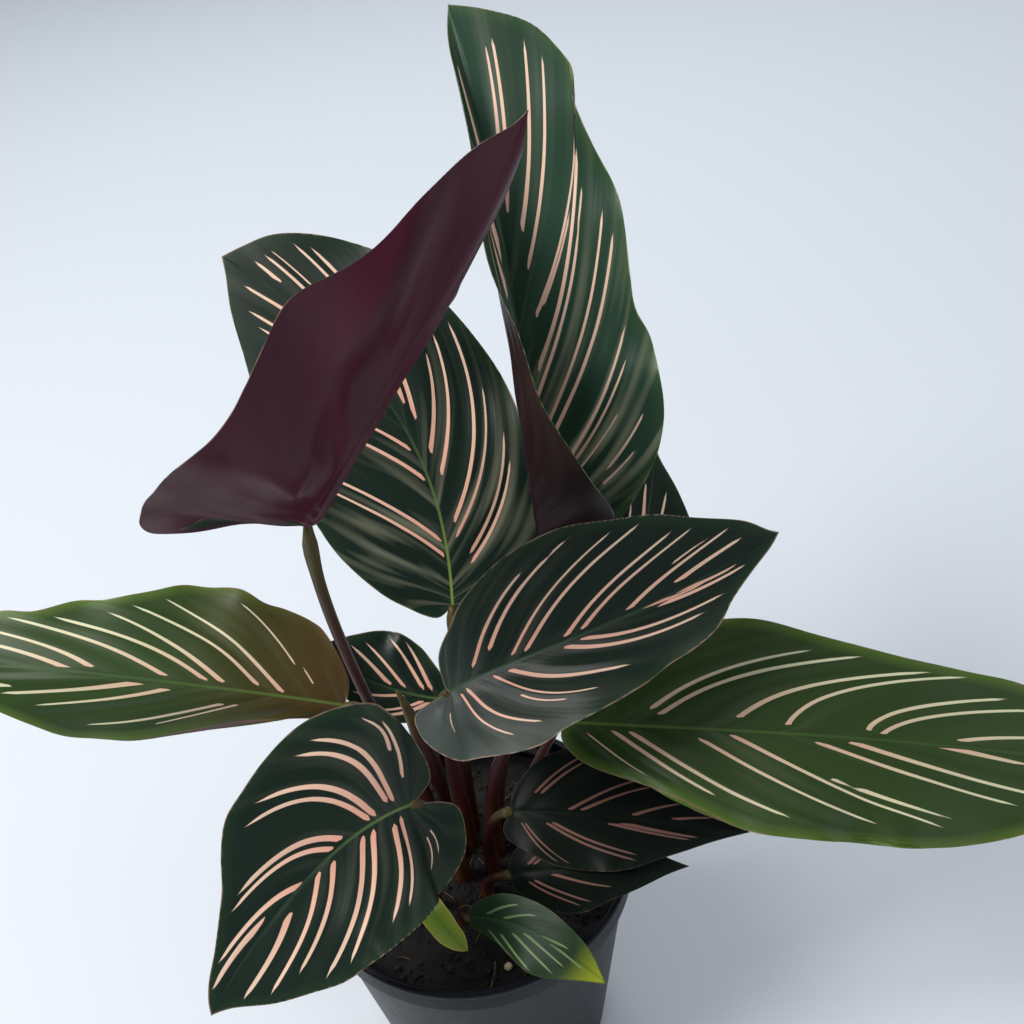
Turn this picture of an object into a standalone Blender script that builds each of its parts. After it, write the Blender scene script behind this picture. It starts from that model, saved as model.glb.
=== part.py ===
"""Pinstripe calathea in a small nursery pot, in metres with +Z up.

The origin is the centre of the pot's foot. The camera side of the plant is -Y.
Each leaf is a blade on a stalk of its own, and each stalk stands in a hole in the soil.
"""

import math
from dataclasses import dataclass

import bmesh
import bpy
import numpy as np
from mathutils import Vector

MM = 0.001
GAP = 0.3

# Pot, in mm
POT_HEIGHT = 90.0
RIM_RADIUS = 50.0
RIM_BAND = 10.0
RIM_ROLL = 1.2
RIM_STEP = 1.2
WALL_TOP_RADIUS = 47.6
FOOT_RADIUS = 36.0
FOOT_ROUND = 1.5
WALL = 1.2
FLOOR = 1.5
DRAIN_HOLES = 6
DRAIN_RADIUS = 4.0
DRAIN_CIRCLE = 24.0
POT_STEPS = 48

# Soil, in mm
SOIL_TOP = 82.0
SOIL_MOUND = 2.0
SOIL_EDGE_DROP = 2.0
STALK_DEPTH = 12.0
HOLE_CLEARANCE = 0.35
HOLE_SIDES = 12

# Leaves, in mm and degrees
BLADE_THICK = 0.7
MIDRIB_ROUND = 5.0    # distance from the midrib over which a fold turns
BASE_SHARE = 0.4      # share of the margin's rows that round the base of the blade
NOTCH = 0.3           # share of the half width over which a base lobe comes back to the midrib
STALK_ROOM = 2.8      # half width kept clear of the base lobes for the stalk
VEIN_SPREAD = 1.5     # rows leave the midrib closer together near the base
VEIN_SWEEP = 1.8      # rows sweep forward as side veins do
SCALLOP = 0.5         # in-plane share of a margin's wave
SMALL_BLADE = 60.0    # a blade shorter than this has the smaller net
BLADE_ROWS = 18
BLADE_COLUMNS = 4
SMALL_BLADE_ROWS = 12
SMALL_BLADE_COLUMNS = 3
STALK_POINTS = 12
STALK_END = 0.3       # radius at the blade, as a share of the swollen joint
STALK_SETBACK = 0.9   # distance from the blade's base to the stalk's end
SHEATH_SHARE = 0.5
SHEATH_SWELL = 0.6
JOINT_SHARE = 0.15
JOINT_SWELL = 0.25

# Colours, linear
CHARCOAL = (0.021, 0.024, 0.033)
PEAT = (0.020, 0.013, 0.009)
DEEP_GREEN = (0.012, 0.040, 0.026)
MID_GREEN = (0.045, 0.110, 0.030)
YOUNG_GREEN = (0.28, 0.42, 0.06)
MAROON = (0.060, 0.018, 0.020)
CREAM = (0.75, 0.66, 0.42)


@dataclass
class Half:
    """One half of a blade, left or right as seen from its stalk with the upper side up.

    fold lifts the half from the flat, in degrees at its base, middle and tip, and curl bends
    it on towards the margin. lobe is how far it reaches back past the base, and belly where
    it is widest, both as shares of the length. taper shapes the run to the tip and square the
    base. wave is a margin's height in mm, its count along the blade and its phase in turns.
    """

    width: float
    fold: tuple = (0.0, 0.0, 0.0)
    curl: float = 0.0
    lobe: float = 0.05
    belly: float = 0.4
    taper: float = 1.2
    square: float = 1.0
    wave: tuple = (1.2, 3.0, 0.0)


@dataclass
class Leaf:
    """Spine points run from the blade's base to its tip; faces are where its upper side looks."""

    spine: tuple
    faces: tuple
    left: Half
    right: Half
    foot: tuple
    stalk_handles: tuple = ()
    stalk_radius: float = 1.5
    colour: tuple = DEEP_GREEN


LEAVES = {
    "back_right_upright": Leaf(
        spine=((35, 41, 176), (37, 52, 218), (41, 73, 269), (26, 111, 308)),
        faces=((-0.3, -0.9, 0.4), (-0.1, -0.8, 0.6)),
        left=Half(34, fold=(140, 115, 100), lobe=0.02, belly=0.3, taper=1.2, wave=(1.5, 3, 0)),
        right=Half(35, lobe=0.06, belly=0.3, taper=0.65, wave=(2.0, 4, 0.1)),
        foot=(9, 9)),
    "left_upright": Leaf(
        spine=((-24, 2, 224), (-1, -14, 267), (21, -24, 299), (40, 5, 321)),
        faces=((-0.3, 0.9, 0.2), (-0.3, 0.9, 0.0)),
        left=Half(30, fold=(48, 56, 50), lobe=0.03),
        right=Half(39, fold=(0, -8, 15), lobe=0.03, belly=0.06, taper=1.0, square=0.65,
                   wave=(2.0, 2.5, 0.1)),
        foot=(-6, 1), stalk_handles=((-12, 4, 115), (-31, 12, 180))),
    "back_left": Leaf(
        spine=((5, 38, 157), (4, 54, 192), (-6, 72, 221), (-48, 101, 248)),
        faces=((0.0, -0.9, 0.5), (0.0, -0.8, 0.6)),
        left=Half(34, belly=0.42, wave=(1.0, 2, 0)),
        right=Half(37, lobe=0.08, belly=0.42, taper=0.85, wave=(2.0, 3, 0.35)),
        foot=(1, 12)),
    "back_right_low": Leaf(
        spine=((48, 46, 117), (62, 55, 133), (70, 70, 152), (75, 90, 169)),
        faces=((0.0, -0.7, 0.7), (0.0, -0.7, 0.7)),
        left=Half(20), right=Half(22),
        foot=(15, 5), stalk_radius=1.3),
    "front_centre": Leaf(
        spine=((3, -6, 167), (23, -8, 180), (58, -8, 186), (95, 7, 197)),
        faces=((0.0, -0.6, 0.8), (0.0, -0.6, 0.8)),
        left=Half(28, fold=(20, 20, 20), lobe=0.02, wave=(1.0, 2, 0)),
        right=Half(24, fold=(20, 20, 20), lobe=0.17, belly=0.33, wave=(2.0, 2.5, 0.2)),
        foot=(0, 5), stalk_handles=((0, 6, 120), (-3, 1, 150))),
    "right_long": Leaf(
        spine=((33, 1, 141), (70, -13, 146), (121, -25, 147), (194, -28, 116)),
        faces=((0.0, -0.6, 0.8), (0.0, -0.6, 0.8)),
        left=Half(29, fold=(10, 10, 10), curl=-15, lobe=0.03, belly=0.36, taper=1.1,
                  wave=(1.2, 4, 0)),
        right=Half(31, fold=(10, 10, 10), curl=-15, lobe=0.0, belly=0.45, taper=1.1, square=1.3,
                   wave=(1.8, 5, 0.3)),
        foot=(8, 2), stalk_handles=((8, 2, 125), (16, 7, 138)), colour=MID_GREEN),
    "left_long": Leaf(
        spine=((-31, 23, 136), (-60, 22, 150), (-109, 26, 164), (-162, 40, 165)),
        faces=((0.0, -0.5, 0.9), (0.0, -0.5, 0.9)),
        left=Half(27, fold=(-55, -30, -20), curl=-20, lobe=0.0, belly=0.48, taper=1.4,
                  square=1.3, wave=(1.0, 3, 0)),
        right=Half(28, curl=-10, lobe=0.03, belly=0.32, wave=(1.5, 4, 0.3)),
        foot=(-10, 8), colour=MID_GREEN),
    "front_left": Leaf(
        spine=((-12, -19, 138), (-26, -27, 147), (-46, -39, 139), (-71, -57, 109)),
        faces=((0.0, -0.7, 0.7), (0.0, -0.8, 0.6)),
        left=Half(34, fold=(8, 8, 8), lobe=0.18, belly=0.36),
        right=Half(31, fold=(8, 8, 8), lobe=0.09, belly=0.15, taper=1.35),
        foot=(-3, -6), stalk_handles=((-3, -7, 112), (-7, -11, 128))),
    "back_small": Leaf(
        spine=((-2, 33, 122), (-12, 33, 133), (-22, 39, 142), (-35, 50, 149)),
        faces=((0.0, -0.6, 0.8), (0.0, -0.6, 0.8)),
        left=Half(14), right=Half(12),
        foot=(-4, 15), stalk_radius=1.1),
    "front_right_upper": Leaf(
        spine=((15, -8, 115), (34, -13, 118), (57, -19, 115), (83, -18, 104)),
        faces=((0.0, -0.6, 0.8), (0.0, -0.6, 0.8)),
        left=Half(22, fold=(-10, -10, -10), lobe=0.06),
        right=Half(16, lobe=0.08),
        foot=(6, -5), stalk_radius=1.3),
    "front_right_lower": Leaf(
        spine=((12, -18, 99), (27, -21, 104), (50, -26, 104), (69, -25, 101)),
        faces=((0.0, -0.6, 0.8), (0.0, -0.6, 0.8)),
        left=Half(13, fold=(-10, -10, -10)),
        right=Half(17, fold=(-15, -15, -15)),
        foot=(4, -13), stalk_radius=1.2),
    "front_small": Leaf(
        spine=((-1, -29, 96), (11, -35, 104), (25, -47, 105), (35, -56, 97)),
        faces=((0.0, -0.6, 0.8), (0.0, -0.6, 0.8)),
        left=Half(9, wave=(0.5, 2, 0)),
        right=Half(10, wave=(0.5, 2, 0.3)),
        foot=(-4, -21), stalk_radius=1.0),
    "front_young": Leaf(
        spine=((-12, -21, 98), (-13, -26, 101), (-10, -32, 99), (-4, -34, 92)),
        faces=((0.0, -0.6, 0.8), (0.0, -0.6, 0.8)),
        left=Half(6, wave=(0.3, 2, 0)),
        right=Half(5, wave=(0.3, 2, 0.3)),
        foot=(-11, -15), stalk_radius=0.9, colour=YOUNG_GREEN),
}

ROLLED_LEAF_PATH = ((-4.5, 7.5, 84), (-5, 8, 108), (-8, 12, 130), (-14, 17, 146))
ROLLED_LEAF_RADII = (1.3, 1.3, 1.5, 2.2, 2.6, 2.3, 1.4, 0.4)
BEAD_RADIUS = 1.2
BEAD_PLACE = (8.0, -38.0)


def bezier(points, t):
    """Point and unit direction at t on a cubic through four control points."""
    p0, p1, p2, p3 = (Vector(p) for p in points)
    s = 1.0 - t
    point = s**3 * p0 + 3 * s * s * t * p1 + 3 * s * t * t * p2 + t**3 * p3
    slope = s * s * (p1 - p0) + 2 * s * t * (p2 - p1) + t * t * (p3 - p2)
    return point, slope.normalized()


class Spine:
    """A cubic curve looked up by the share of its length."""

    def __init__(self, points, samples=120):
        self.points = points
        self.steps = [i / (samples - 1) for i in range(samples)]
        places = np.array([bezier(points, t)[0] for t in self.steps])
        runs = np.linalg.norm(np.diff(places, axis=0), axis=1)
        self.travel = np.concatenate([[0.0], np.cumsum(runs)])
        self.length = float(self.travel[-1])

    def at(self, share):
        """Point and direction; a share outside 0 to 1 runs on straight."""
        inside = min(max(share, 0.0), 1.0)
        t = float(np.interp(inside * self.length, self.travel, self.steps))
        point, along = bezier(self.points, t)
        return point + along * (share - inside) * self.length, along


def base_middle_tip(values, share):
    """Quadratic through the values at the base, the middle and the tip."""
    share = min(max(share, 0.0), 1.0)
    base, middle, tip = values
    return (base * (1 - share) * (1 - 2 * share) + 4 * middle * share * (1 - share)
            + tip * share * (2 * share - 1))


def margin(half, length, u):
    """Margin of the flat half blade at u, 0 at the base to 1 at the tip: distance along, width."""
    if u < BASE_SHARE:
        angle = u / BASE_SHARE * math.pi / 2
        wide = math.sin(angle) ** half.square
        reach = half.belly + half.lobe
        notch = min(max(wide - STALK_ROOM / half.width, 0.0) / NOTCH, 1.0)
        notch = notch * notch * (3 - 2 * notch)
        along = half.belly - reach * math.cos(angle) ** half.square + half.lobe * (1 - notch)
        return along * length, wide * half.width
    rest = (u - BASE_SHARE) / (1 - BASE_SHARE)
    along = half.belly + (1 - half.belly) * rest
    height, cycles, phase = half.wave
    scallop = SCALLOP * height * math.sin(2 * math.pi * (cycles * along + phase)) * math.sin(math.pi * rest)
    return along * length, half.width * (1 - rest * rest) ** half.taper + scallop


def bend(half, share, out):
    """Carry a distance across the flat half to sideways and raised distances in space."""
    fold = math.radians(base_middle_tip(half.fold, share))
    curl = math.radians(half.curl) / half.width
    if abs(curl) < 1e-5:
        curl = 1e-5
    tight = fold / MIDRIB_ROUND + curl
    if abs(tight) < 1e-5:
        tight = 1e-5
    near = min(out, MIDRIB_ROUND)
    turn = tight * near
    angle = turn + curl * (out - near)
    side = math.sin(turn) / tight + (math.sin(angle) - math.sin(turn)) / curl
    rise = (1 - math.cos(turn)) / tight + (math.cos(turn) - math.cos(angle)) / curl
    height, count, phase = half.wave
    ripple = height * (out / half.width) ** 2 * math.sin(2 * math.pi * (count * share + phase))
    return side - math.sin(angle) * ripple, rise + math.cos(angle) * ripple


def blade_point(leaf, spine, half, hand, u, v):
    """Point of a blade: u runs along the midrib, v from the midrib to the margin."""
    along, width = margin(half, spine.length, u)
    start = spine.length * u ** VEIN_SPREAD
    along = start + (along - start) * v ** VEIN_SWEEP
    share = along / spine.length
    point, forward = spine.at(share)
    inside = min(max(share, 0.0), 1.0)
    up = Vector(leaf.faces[0]).lerp(Vector(leaf.faces[1]), inside)
    up = (up - forward * up.dot(forward)).normalized()
    side, rise = bend(half, inside, width * v)
    return point + forward.cross(up) * (hand * side) + up * rise


def new_object(name, mesh, collection, colour, roughness):
    """Object with a material of its own."""
    body = bpy.data.objects.new(name, mesh)
    material = bpy.data.materials.new(name + "_surface")
    material.use_nodes = True
    shader = material.node_tree.nodes["Principled BSDF"]
    shader.inputs["Base Color"].default_value = (*colour, 1.0)
    shader.inputs["Roughness"].default_value = roughness
    body.data.materials.append(material)
    collection.objects.link(body)
    return body


def mesh_from(bm, name):
    """Mesh in metres from a bmesh in millimetres."""
    bmesh.ops.scale(bm, vec=(MM, MM, MM), verts=bm.verts)
    mesh = bpy.data.meshes.new(name)
    bm.to_mesh(mesh)
    bm.free()
    return mesh


def build_blade(name, leaf, collection):
    """Leaf blade: a net of triangles from margin to margin, thickened evenly."""
    spine = Spine(leaf.spine)
    small = spine.length < SMALL_BLADE
    count = SMALL_BLADE_ROWS if small else BLADE_ROWS
    columns = SMALL_BLADE_COLUMNS if small else BLADE_COLUMNS
    bm = bmesh.new()
    base = bm.verts.new(spine.at(0.0)[0])
    tip = bm.verts.new(spine.at(1.0)[0])
    shares = [i / columns for i in range(-columns, columns + 1)]
    rows = []
    for row in range(1, count):
        u = row / count
        points = []
        for share in shares:
            half, hand = (leaf.right, 1) if share > 0 else (leaf.left, -1)
            points.append(bm.verts.new(blade_point(leaf, spine, half, hand, u, abs(share))))
        rows.append(points)
    for column in range(2 * columns):
        bm.faces.new((base, rows[0][column + 1], rows[0][column]))
        bm.faces.new((tip, rows[-1][column], rows[-1][column + 1]))
        for low, high in zip(rows, rows[1:]):
            bm.faces.new((low[column], low[column + 1], high[column + 1]))
            bm.faces.new((low[column], high[column + 1], high[column]))
    body = new_object(name + "_blade", mesh_from(bm, name), collection, leaf.colour, 0.35)
    thicken = body.modifiers.new("thickness", "SOLIDIFY")
    thicken.thickness = BLADE_THICK * MM
    thicken.offset = 0.0
    body.data.shade_smooth()


def stalk_path(leaf):
    """Points of a stalk from its foot in the soil to just short of the blade."""
    base, forward = Spine(leaf.spine).at(0.0)
    end = base - forward * STALK_SETBACK
    ground = Vector((*leaf.foot, SOIL_TOP + SOIL_MOUND + 1.0))
    reach = (end - ground).length
    if leaf.stalk_handles:
        low, high = leaf.stalk_handles
    else:
        low = ground + Vector((0, 0, 0.4 * reach))
        high = end - forward * 0.3 * reach
    curve = (ground, low, high, end)
    points = [bezier(curve, i / (STALK_POINTS - 1))[0] for i in range(STALK_POINTS)]
    return [Vector((*leaf.foot, SOIL_TOP - STALK_DEPTH))] + points


def stalk_radii(leaf):
    """Radii along a stalk: a sheath at the foot and a swollen joint below the blade."""
    radii = []
    for i in range(STALK_POINTS):
        share = i / (STALK_POINTS - 1)
        sheath = SHEATH_SWELL * max(0.0, 1 - share / SHEATH_SHARE) ** 0.7
        joint = JOINT_SWELL * max(0.0, 1 - (1 - share) / JOINT_SHARE)
        radii.append(leaf.stalk_radius * (1 + sheath + joint))
    radii[-1] *= STALK_END
    return [radii[0]] + radii


def build_tube(name, points, radii, collection, colour):
    """Round tube along the points, with a radius at each and filled ends."""
    curve = bpy.data.curves.new(name, "CURVE")
    curve.dimensions = "3D"
    curve.bevel_depth = MM
    curve.bevel_resolution = 2
    curve.use_fill_caps = True
    line = curve.splines.new("POLY")
    line.points.add(len(points) - 1)
    for spot, point, radius in zip(line.points, points, radii):
        spot.co = (*(Vector(point) * MM), 1.0)
        spot.radius = radius
    return new_object(name, curve, collection, colour, 0.5)


def turned(name, profile, collection, colour, roughness):
    """Solid turned about Z from a profile in mm that runs down its outer side."""
    bm = bmesh.new()
    corners = [bm.verts.new((radius, 0, height)) for radius, height in profile]
    for low, high in zip(corners, corners[1:]):
        bm.edges.new((low, high))
    body = new_object(name, mesh_from(bm, name), collection, colour, roughness)
    screw = body.modifiers.new("turning", "SCREW")
    screw.steps = POT_STEPS
    screw.render_steps = POT_STEPS
    screw.use_merge_vertices = True
    screw.merge_threshold = 0.00001
    return body


def wall_radius(height):
    """Outer radius of the pot's wall below its rim band."""
    share = height / (POT_HEIGHT - RIM_BAND)
    return FOOT_RADIUS + (WALL_TOP_RADIUS - FOOT_RADIUS) * share


def pot_profile():
    """Half section of the pot: inner floor, inner wall, rolled rim, outer wall, foot."""
    step = POT_HEIGHT - RIM_BAND
    roll = []
    for turn in (150, 90, 30):
        angle = math.radians(turn)
        out = RIM_RADIUS - RIM_ROLL + RIM_ROLL * math.cos(angle)
        roll.append((out, POT_HEIGHT - RIM_ROLL + RIM_ROLL * math.sin(angle)))
    return [
        (0.0, FLOOR),
        (wall_radius(FLOOR) - WALL, FLOOR),
        (wall_radius(step) - WALL, step + WALL),
        (RIM_RADIUS - WALL, step + RIM_STEP + WALL),
        (RIM_RADIUS - WALL, POT_HEIGHT - 2 * RIM_ROLL),
        *roll,
        (RIM_RADIUS, step + RIM_STEP),
        (wall_radius(step), step),
        (wall_radius(FOOT_ROUND), FOOT_ROUND),
        (FOOT_RADIUS - FOOT_ROUND, 0.0),
        (0.0, 0.0),
    ]


def soil_profile():
    """Half section of the soil: a slight mound, the edge, the side and the bottom."""
    edge = SOIL_TOP - SOIL_EDGE_DROP
    inner_floor = wall_radius(FLOOR) - WALL - 2 * GAP
    inner_top = wall_radius(edge) - WALL - 2 * GAP
    return [
        (0.0, SOIL_TOP + SOIL_MOUND),
        (inner_top * 0.45, SOIL_TOP + SOIL_MOUND * 0.6),
        (inner_top * 0.8, SOIL_TOP - SOIL_EDGE_DROP * 0.3),
        (inner_top, edge),
        (inner_floor, FLOOR + GAP),
        (0.0, FLOOR + GAP),
    ]


def cut_round(body, places, radius_of, bottom, top, cutters):
    """Cut upright round holes, one at each named place."""
    for name, (x, y) in places.items():
        bm = bmesh.new()
        bmesh.ops.create_cone(bm, cap_ends=True, segments=HOLE_SIDES, radius1=radius_of[name],
                              radius2=radius_of[name], depth=top - bottom)
        bmesh.ops.translate(bm, verts=bm.verts, vec=(x, y, (top + bottom) / 2))
        cutter = bpy.data.objects.new(name + "_cutter", mesh_from(bm, name + "_cutter"))
        cutters.objects.link(cutter)
        cutter.hide_render = True
        cutter.display_type = "WIRE"
        cut = body.modifiers.new(name, "BOOLEAN")
        cut.object = cutter
        cut.operation = "DIFFERENCE"


def build_pot(collection, cutters):
    """Nursery pot: tapered wall, stepped rim band and drain holes in the floor."""
    pot = turned("pot", pot_profile(), collection, CHARCOAL, 0.25)
    places = {}
    for i in range(DRAIN_HOLES):
        angle = 2 * math.pi * i / DRAIN_HOLES
        places[f"drain_{i + 1}"] = (DRAIN_CIRCLE * math.cos(angle), DRAIN_CIRCLE * math.sin(angle))
    cut_round(pot, places, dict.fromkeys(places, DRAIN_RADIUS), -1.0, FLOOR + 1.0, cutters)


def build_soil(collection, cutters):
    """Peat that fills the pot, with a plain hole for each stalk."""
    soil = turned("soil", soil_profile(), collection, PEAT, 0.95)
    places = {name + "_hole": leaf.foot for name, leaf in LEAVES.items()}
    radius_of = {name + "_hole": stalk_radii(leaf)[0] + HOLE_CLEARANCE for name, leaf in LEAVES.items()}
    places["rolled_leaf_hole"] = ROLLED_LEAF_PATH[0][:2]
    radius_of["rolled_leaf_hole"] = ROLLED_LEAF_RADII[0] + HOLE_CLEARANCE
    bottom = SOIL_TOP - STALK_DEPTH - 1.0
    cut_round(soil, places, radius_of, bottom, SOIL_TOP + SOIL_MOUND + 5.0, cutters)


def build_rolled_leaf(collection):
    """Young leaf that is still a closed roll."""
    foot = Vector((*ROLLED_LEAF_PATH[0][:2], SOIL_TOP - STALK_DEPTH))
    last = len(ROLLED_LEAF_RADII) - 2
    points = [foot] + [bezier(ROLLED_LEAF_PATH, i / last)[0] for i in range(last + 1)]
    build_tube("rolled_leaf", points, ROLLED_LEAF_RADII, collection, MAROON)


def build_bead(collection):
    """Pale feed granule on the soil."""
    bm = bmesh.new()
    bmesh.ops.create_uvsphere(bm, u_segments=12, v_segments=8, radius=BEAD_RADIUS)
    height = SOIL_TOP - SOIL_EDGE_DROP * 0.3 + BEAD_RADIUS + GAP
    bmesh.ops.translate(bm, verts=bm.verts, vec=(*BEAD_PLACE, height))
    bead = new_object("feed_bead", mesh_from(bm, "feed_bead"), collection, CREAM, 0.4)
    bead.data.shade_smooth()


def clear_scene():
    for body in list(bpy.data.objects):
        bpy.data.objects.remove(body, do_unlink=True)


def main():
    clear_scene()
    plant = bpy.data.collections.new("pinstripe_calathea")
    cutters = bpy.data.collections.new("cutters")
    bpy.context.scene.collection.children.link(plant)
    bpy.context.scene.collection.children.link(cutters)
    build_pot(plant, cutters)
    build_soil(plant, cutters)
    for name, leaf in LEAVES.items():
        build_blade(name, leaf, plant)
        build_tube(name + "_stalk", stalk_path(leaf), stalk_radii(leaf), plant, MAROON)
    build_rolled_leaf(plant)
    build_bead(plant)


main()
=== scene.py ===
import math
from dataclasses import dataclass

import bmesh
import bpy
import numpy as np
from mathutils import Euler, Matrix, Vector, noise


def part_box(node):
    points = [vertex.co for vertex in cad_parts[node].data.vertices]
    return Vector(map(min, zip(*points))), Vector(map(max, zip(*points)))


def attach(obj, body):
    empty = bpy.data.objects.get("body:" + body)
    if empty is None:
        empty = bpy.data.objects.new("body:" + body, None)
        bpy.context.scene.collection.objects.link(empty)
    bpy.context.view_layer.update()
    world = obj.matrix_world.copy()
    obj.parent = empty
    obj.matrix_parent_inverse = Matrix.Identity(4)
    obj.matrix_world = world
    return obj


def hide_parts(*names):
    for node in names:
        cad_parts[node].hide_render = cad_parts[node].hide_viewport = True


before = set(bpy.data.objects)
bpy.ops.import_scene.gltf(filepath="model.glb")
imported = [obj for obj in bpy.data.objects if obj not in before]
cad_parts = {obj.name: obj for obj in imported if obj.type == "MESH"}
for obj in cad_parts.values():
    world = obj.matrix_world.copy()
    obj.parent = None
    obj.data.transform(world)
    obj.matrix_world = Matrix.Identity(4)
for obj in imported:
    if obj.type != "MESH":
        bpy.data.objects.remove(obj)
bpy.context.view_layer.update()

bl_info = {
    "name": "Pinstripe calathea",
    "version": (1, 0, 0),
    "blender": (4, 5, 0),
    "location": "3D View > Sidebar > Calathea",
    "description": "Builds a pinstripe calathea in its nursery pot around its packed solids",
    "category": "Object",
}

MM = 0.001

# Form of a blade, in mm: how far its fold is rounded at the midrib, how a crease rises from it,
# and the swells, the groove above the midrib and the rib below it
MIDRIB_ROUND = 5.0
CREASE_RISE = 12.0
SWELL_PITCH = 7.5
GROOVE_DEPTH = 0.25
GROOVE_WIDTH = 0.8
MIDRIB_WIDTH = 0.9
FULL_RELIEF_LENGTH = 100.0
# and as shares: the short waves of the margin against its long ones, how far a crease sweeps
# forward on its way out, and how much thinner the margin is than the middle
FRILL_HEIGHT = 0.5
FRILL_COUNT = 1.7
CREASE_SWEEP = 0.25
MARGIN_THINNING = 0.6
# Smallest bends in radians per mm and in degrees, so that a flat half divides by no zero
LEAST_BEND = 1e-5
LEAST_CURL = 0.001

# Stripes: a wisp's width and how uneven widths are, as shares; how much a stripe tapers outward;
# how bluntly it starts and how pointed it ends; and the distance in mm that says no stripe
WISP_SHARE = 0.55
STRIPE_UNEVENNESS = (0.85, 1.12)
STRIPE_TAPER = 0.45
BLUNT_START = 0.9
POINTED_END = 0.3
NO_STRIPE = -3.0

# Net of a blade: columns and fineness of the rows for long and for short blades, how wide a gap
# between rows may grow, and how close the veins that guide the rows may come
LONG_BLADE = 60.0
LONG_NET = (30, 0.007)
SHORT_NET = (16, 0.014)
WIDEST_GAP = 1.6
GUIDE_GAP = 0.018
ROW_GAP = 0.003
# Distances in metres under which corners are joined and slivers dissolved
WELD = 0.000004
SLIVER = 0.000002
# Angles in degrees from which a blade's margin and the pot's edges are shaded sharp
SHARP_FOLD = 60.0
SHARP_EDGE = 50.0


@dataclass
class Half:
    """One half of a blade, left or right as seen from its stalk with the upper side up.

    edge is the flat outline from base to tip: share of the length, distance out in mm. fold
    lifts the half in degrees at base, middle and tip, and curl bends it on to the margin.
    wave is the margin's height in mm, count and phase. A side vein is named by where it ends, as
    a share of the margin's length: spread crowds their starts to the base, and sweep is how much
    of a vein's way forward lies near the margin. A stripe is the vein it leaves, the vein it ends
    on, and its start and end on the way out, and a wisp is a thin one. bow is how far stripes
    bend back midway. creases are soft folds that run out with the side veins, and ridges run
    along the leaf: share of the length or of the width, height in mm, breadth as a share.
    """

    edge: tuple
    fold: tuple = (0.0, 0.0, 0.0)
    curl: float = 0.0
    wave: tuple = (1.2, 3.0, 0.0)
    spread: float = 3.0
    sweep: float = 0.3
    bow: float = 0.0
    stripes: tuple = ()
    wisps: tuple = ()
    creases: tuple = ()
    ridges: tuple = ()


@dataclass
class Leaf:
    """One leaf. Spine points in mm run from the blade's base to its tip.

    faces are where the upper side looks at the base and at the tip. foot is where the stalk
    stands in the soil, and stalk_handles bend it, all in mm. kind names its cuticle: one kind is
    a lighter copy of the dark cuticle, painted light for the leaf that stands in the light, and
    one a darker copy, painted shade for the two leaves that lie in shade. zone gives the shares of
    the length where the blade's second colour starts and is full: a painted grey sheen on the
    base lobe of the front leaf, a bronze base or a yellow-green tip on the others. The sheen
    setting and rib_glow say how much of the painted silvery sheen and of the lighter midrib the
    leaf shows.
    """

    spine: tuple
    left: Half
    right: Half
    foot: tuple
    faces: tuple = ((0.0, -0.6, 0.8), (0.0, -0.6, 0.8))
    stalk_handles: tuple = ()
    stalk_radius: float = 1.5
    kind: str = "dark"
    stripe_width: float = 1.15
    zone: tuple = (9.0, 10.0)
    painted_sheen_amount: float = 0.15
    rib_glow: float = 0.35


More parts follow.
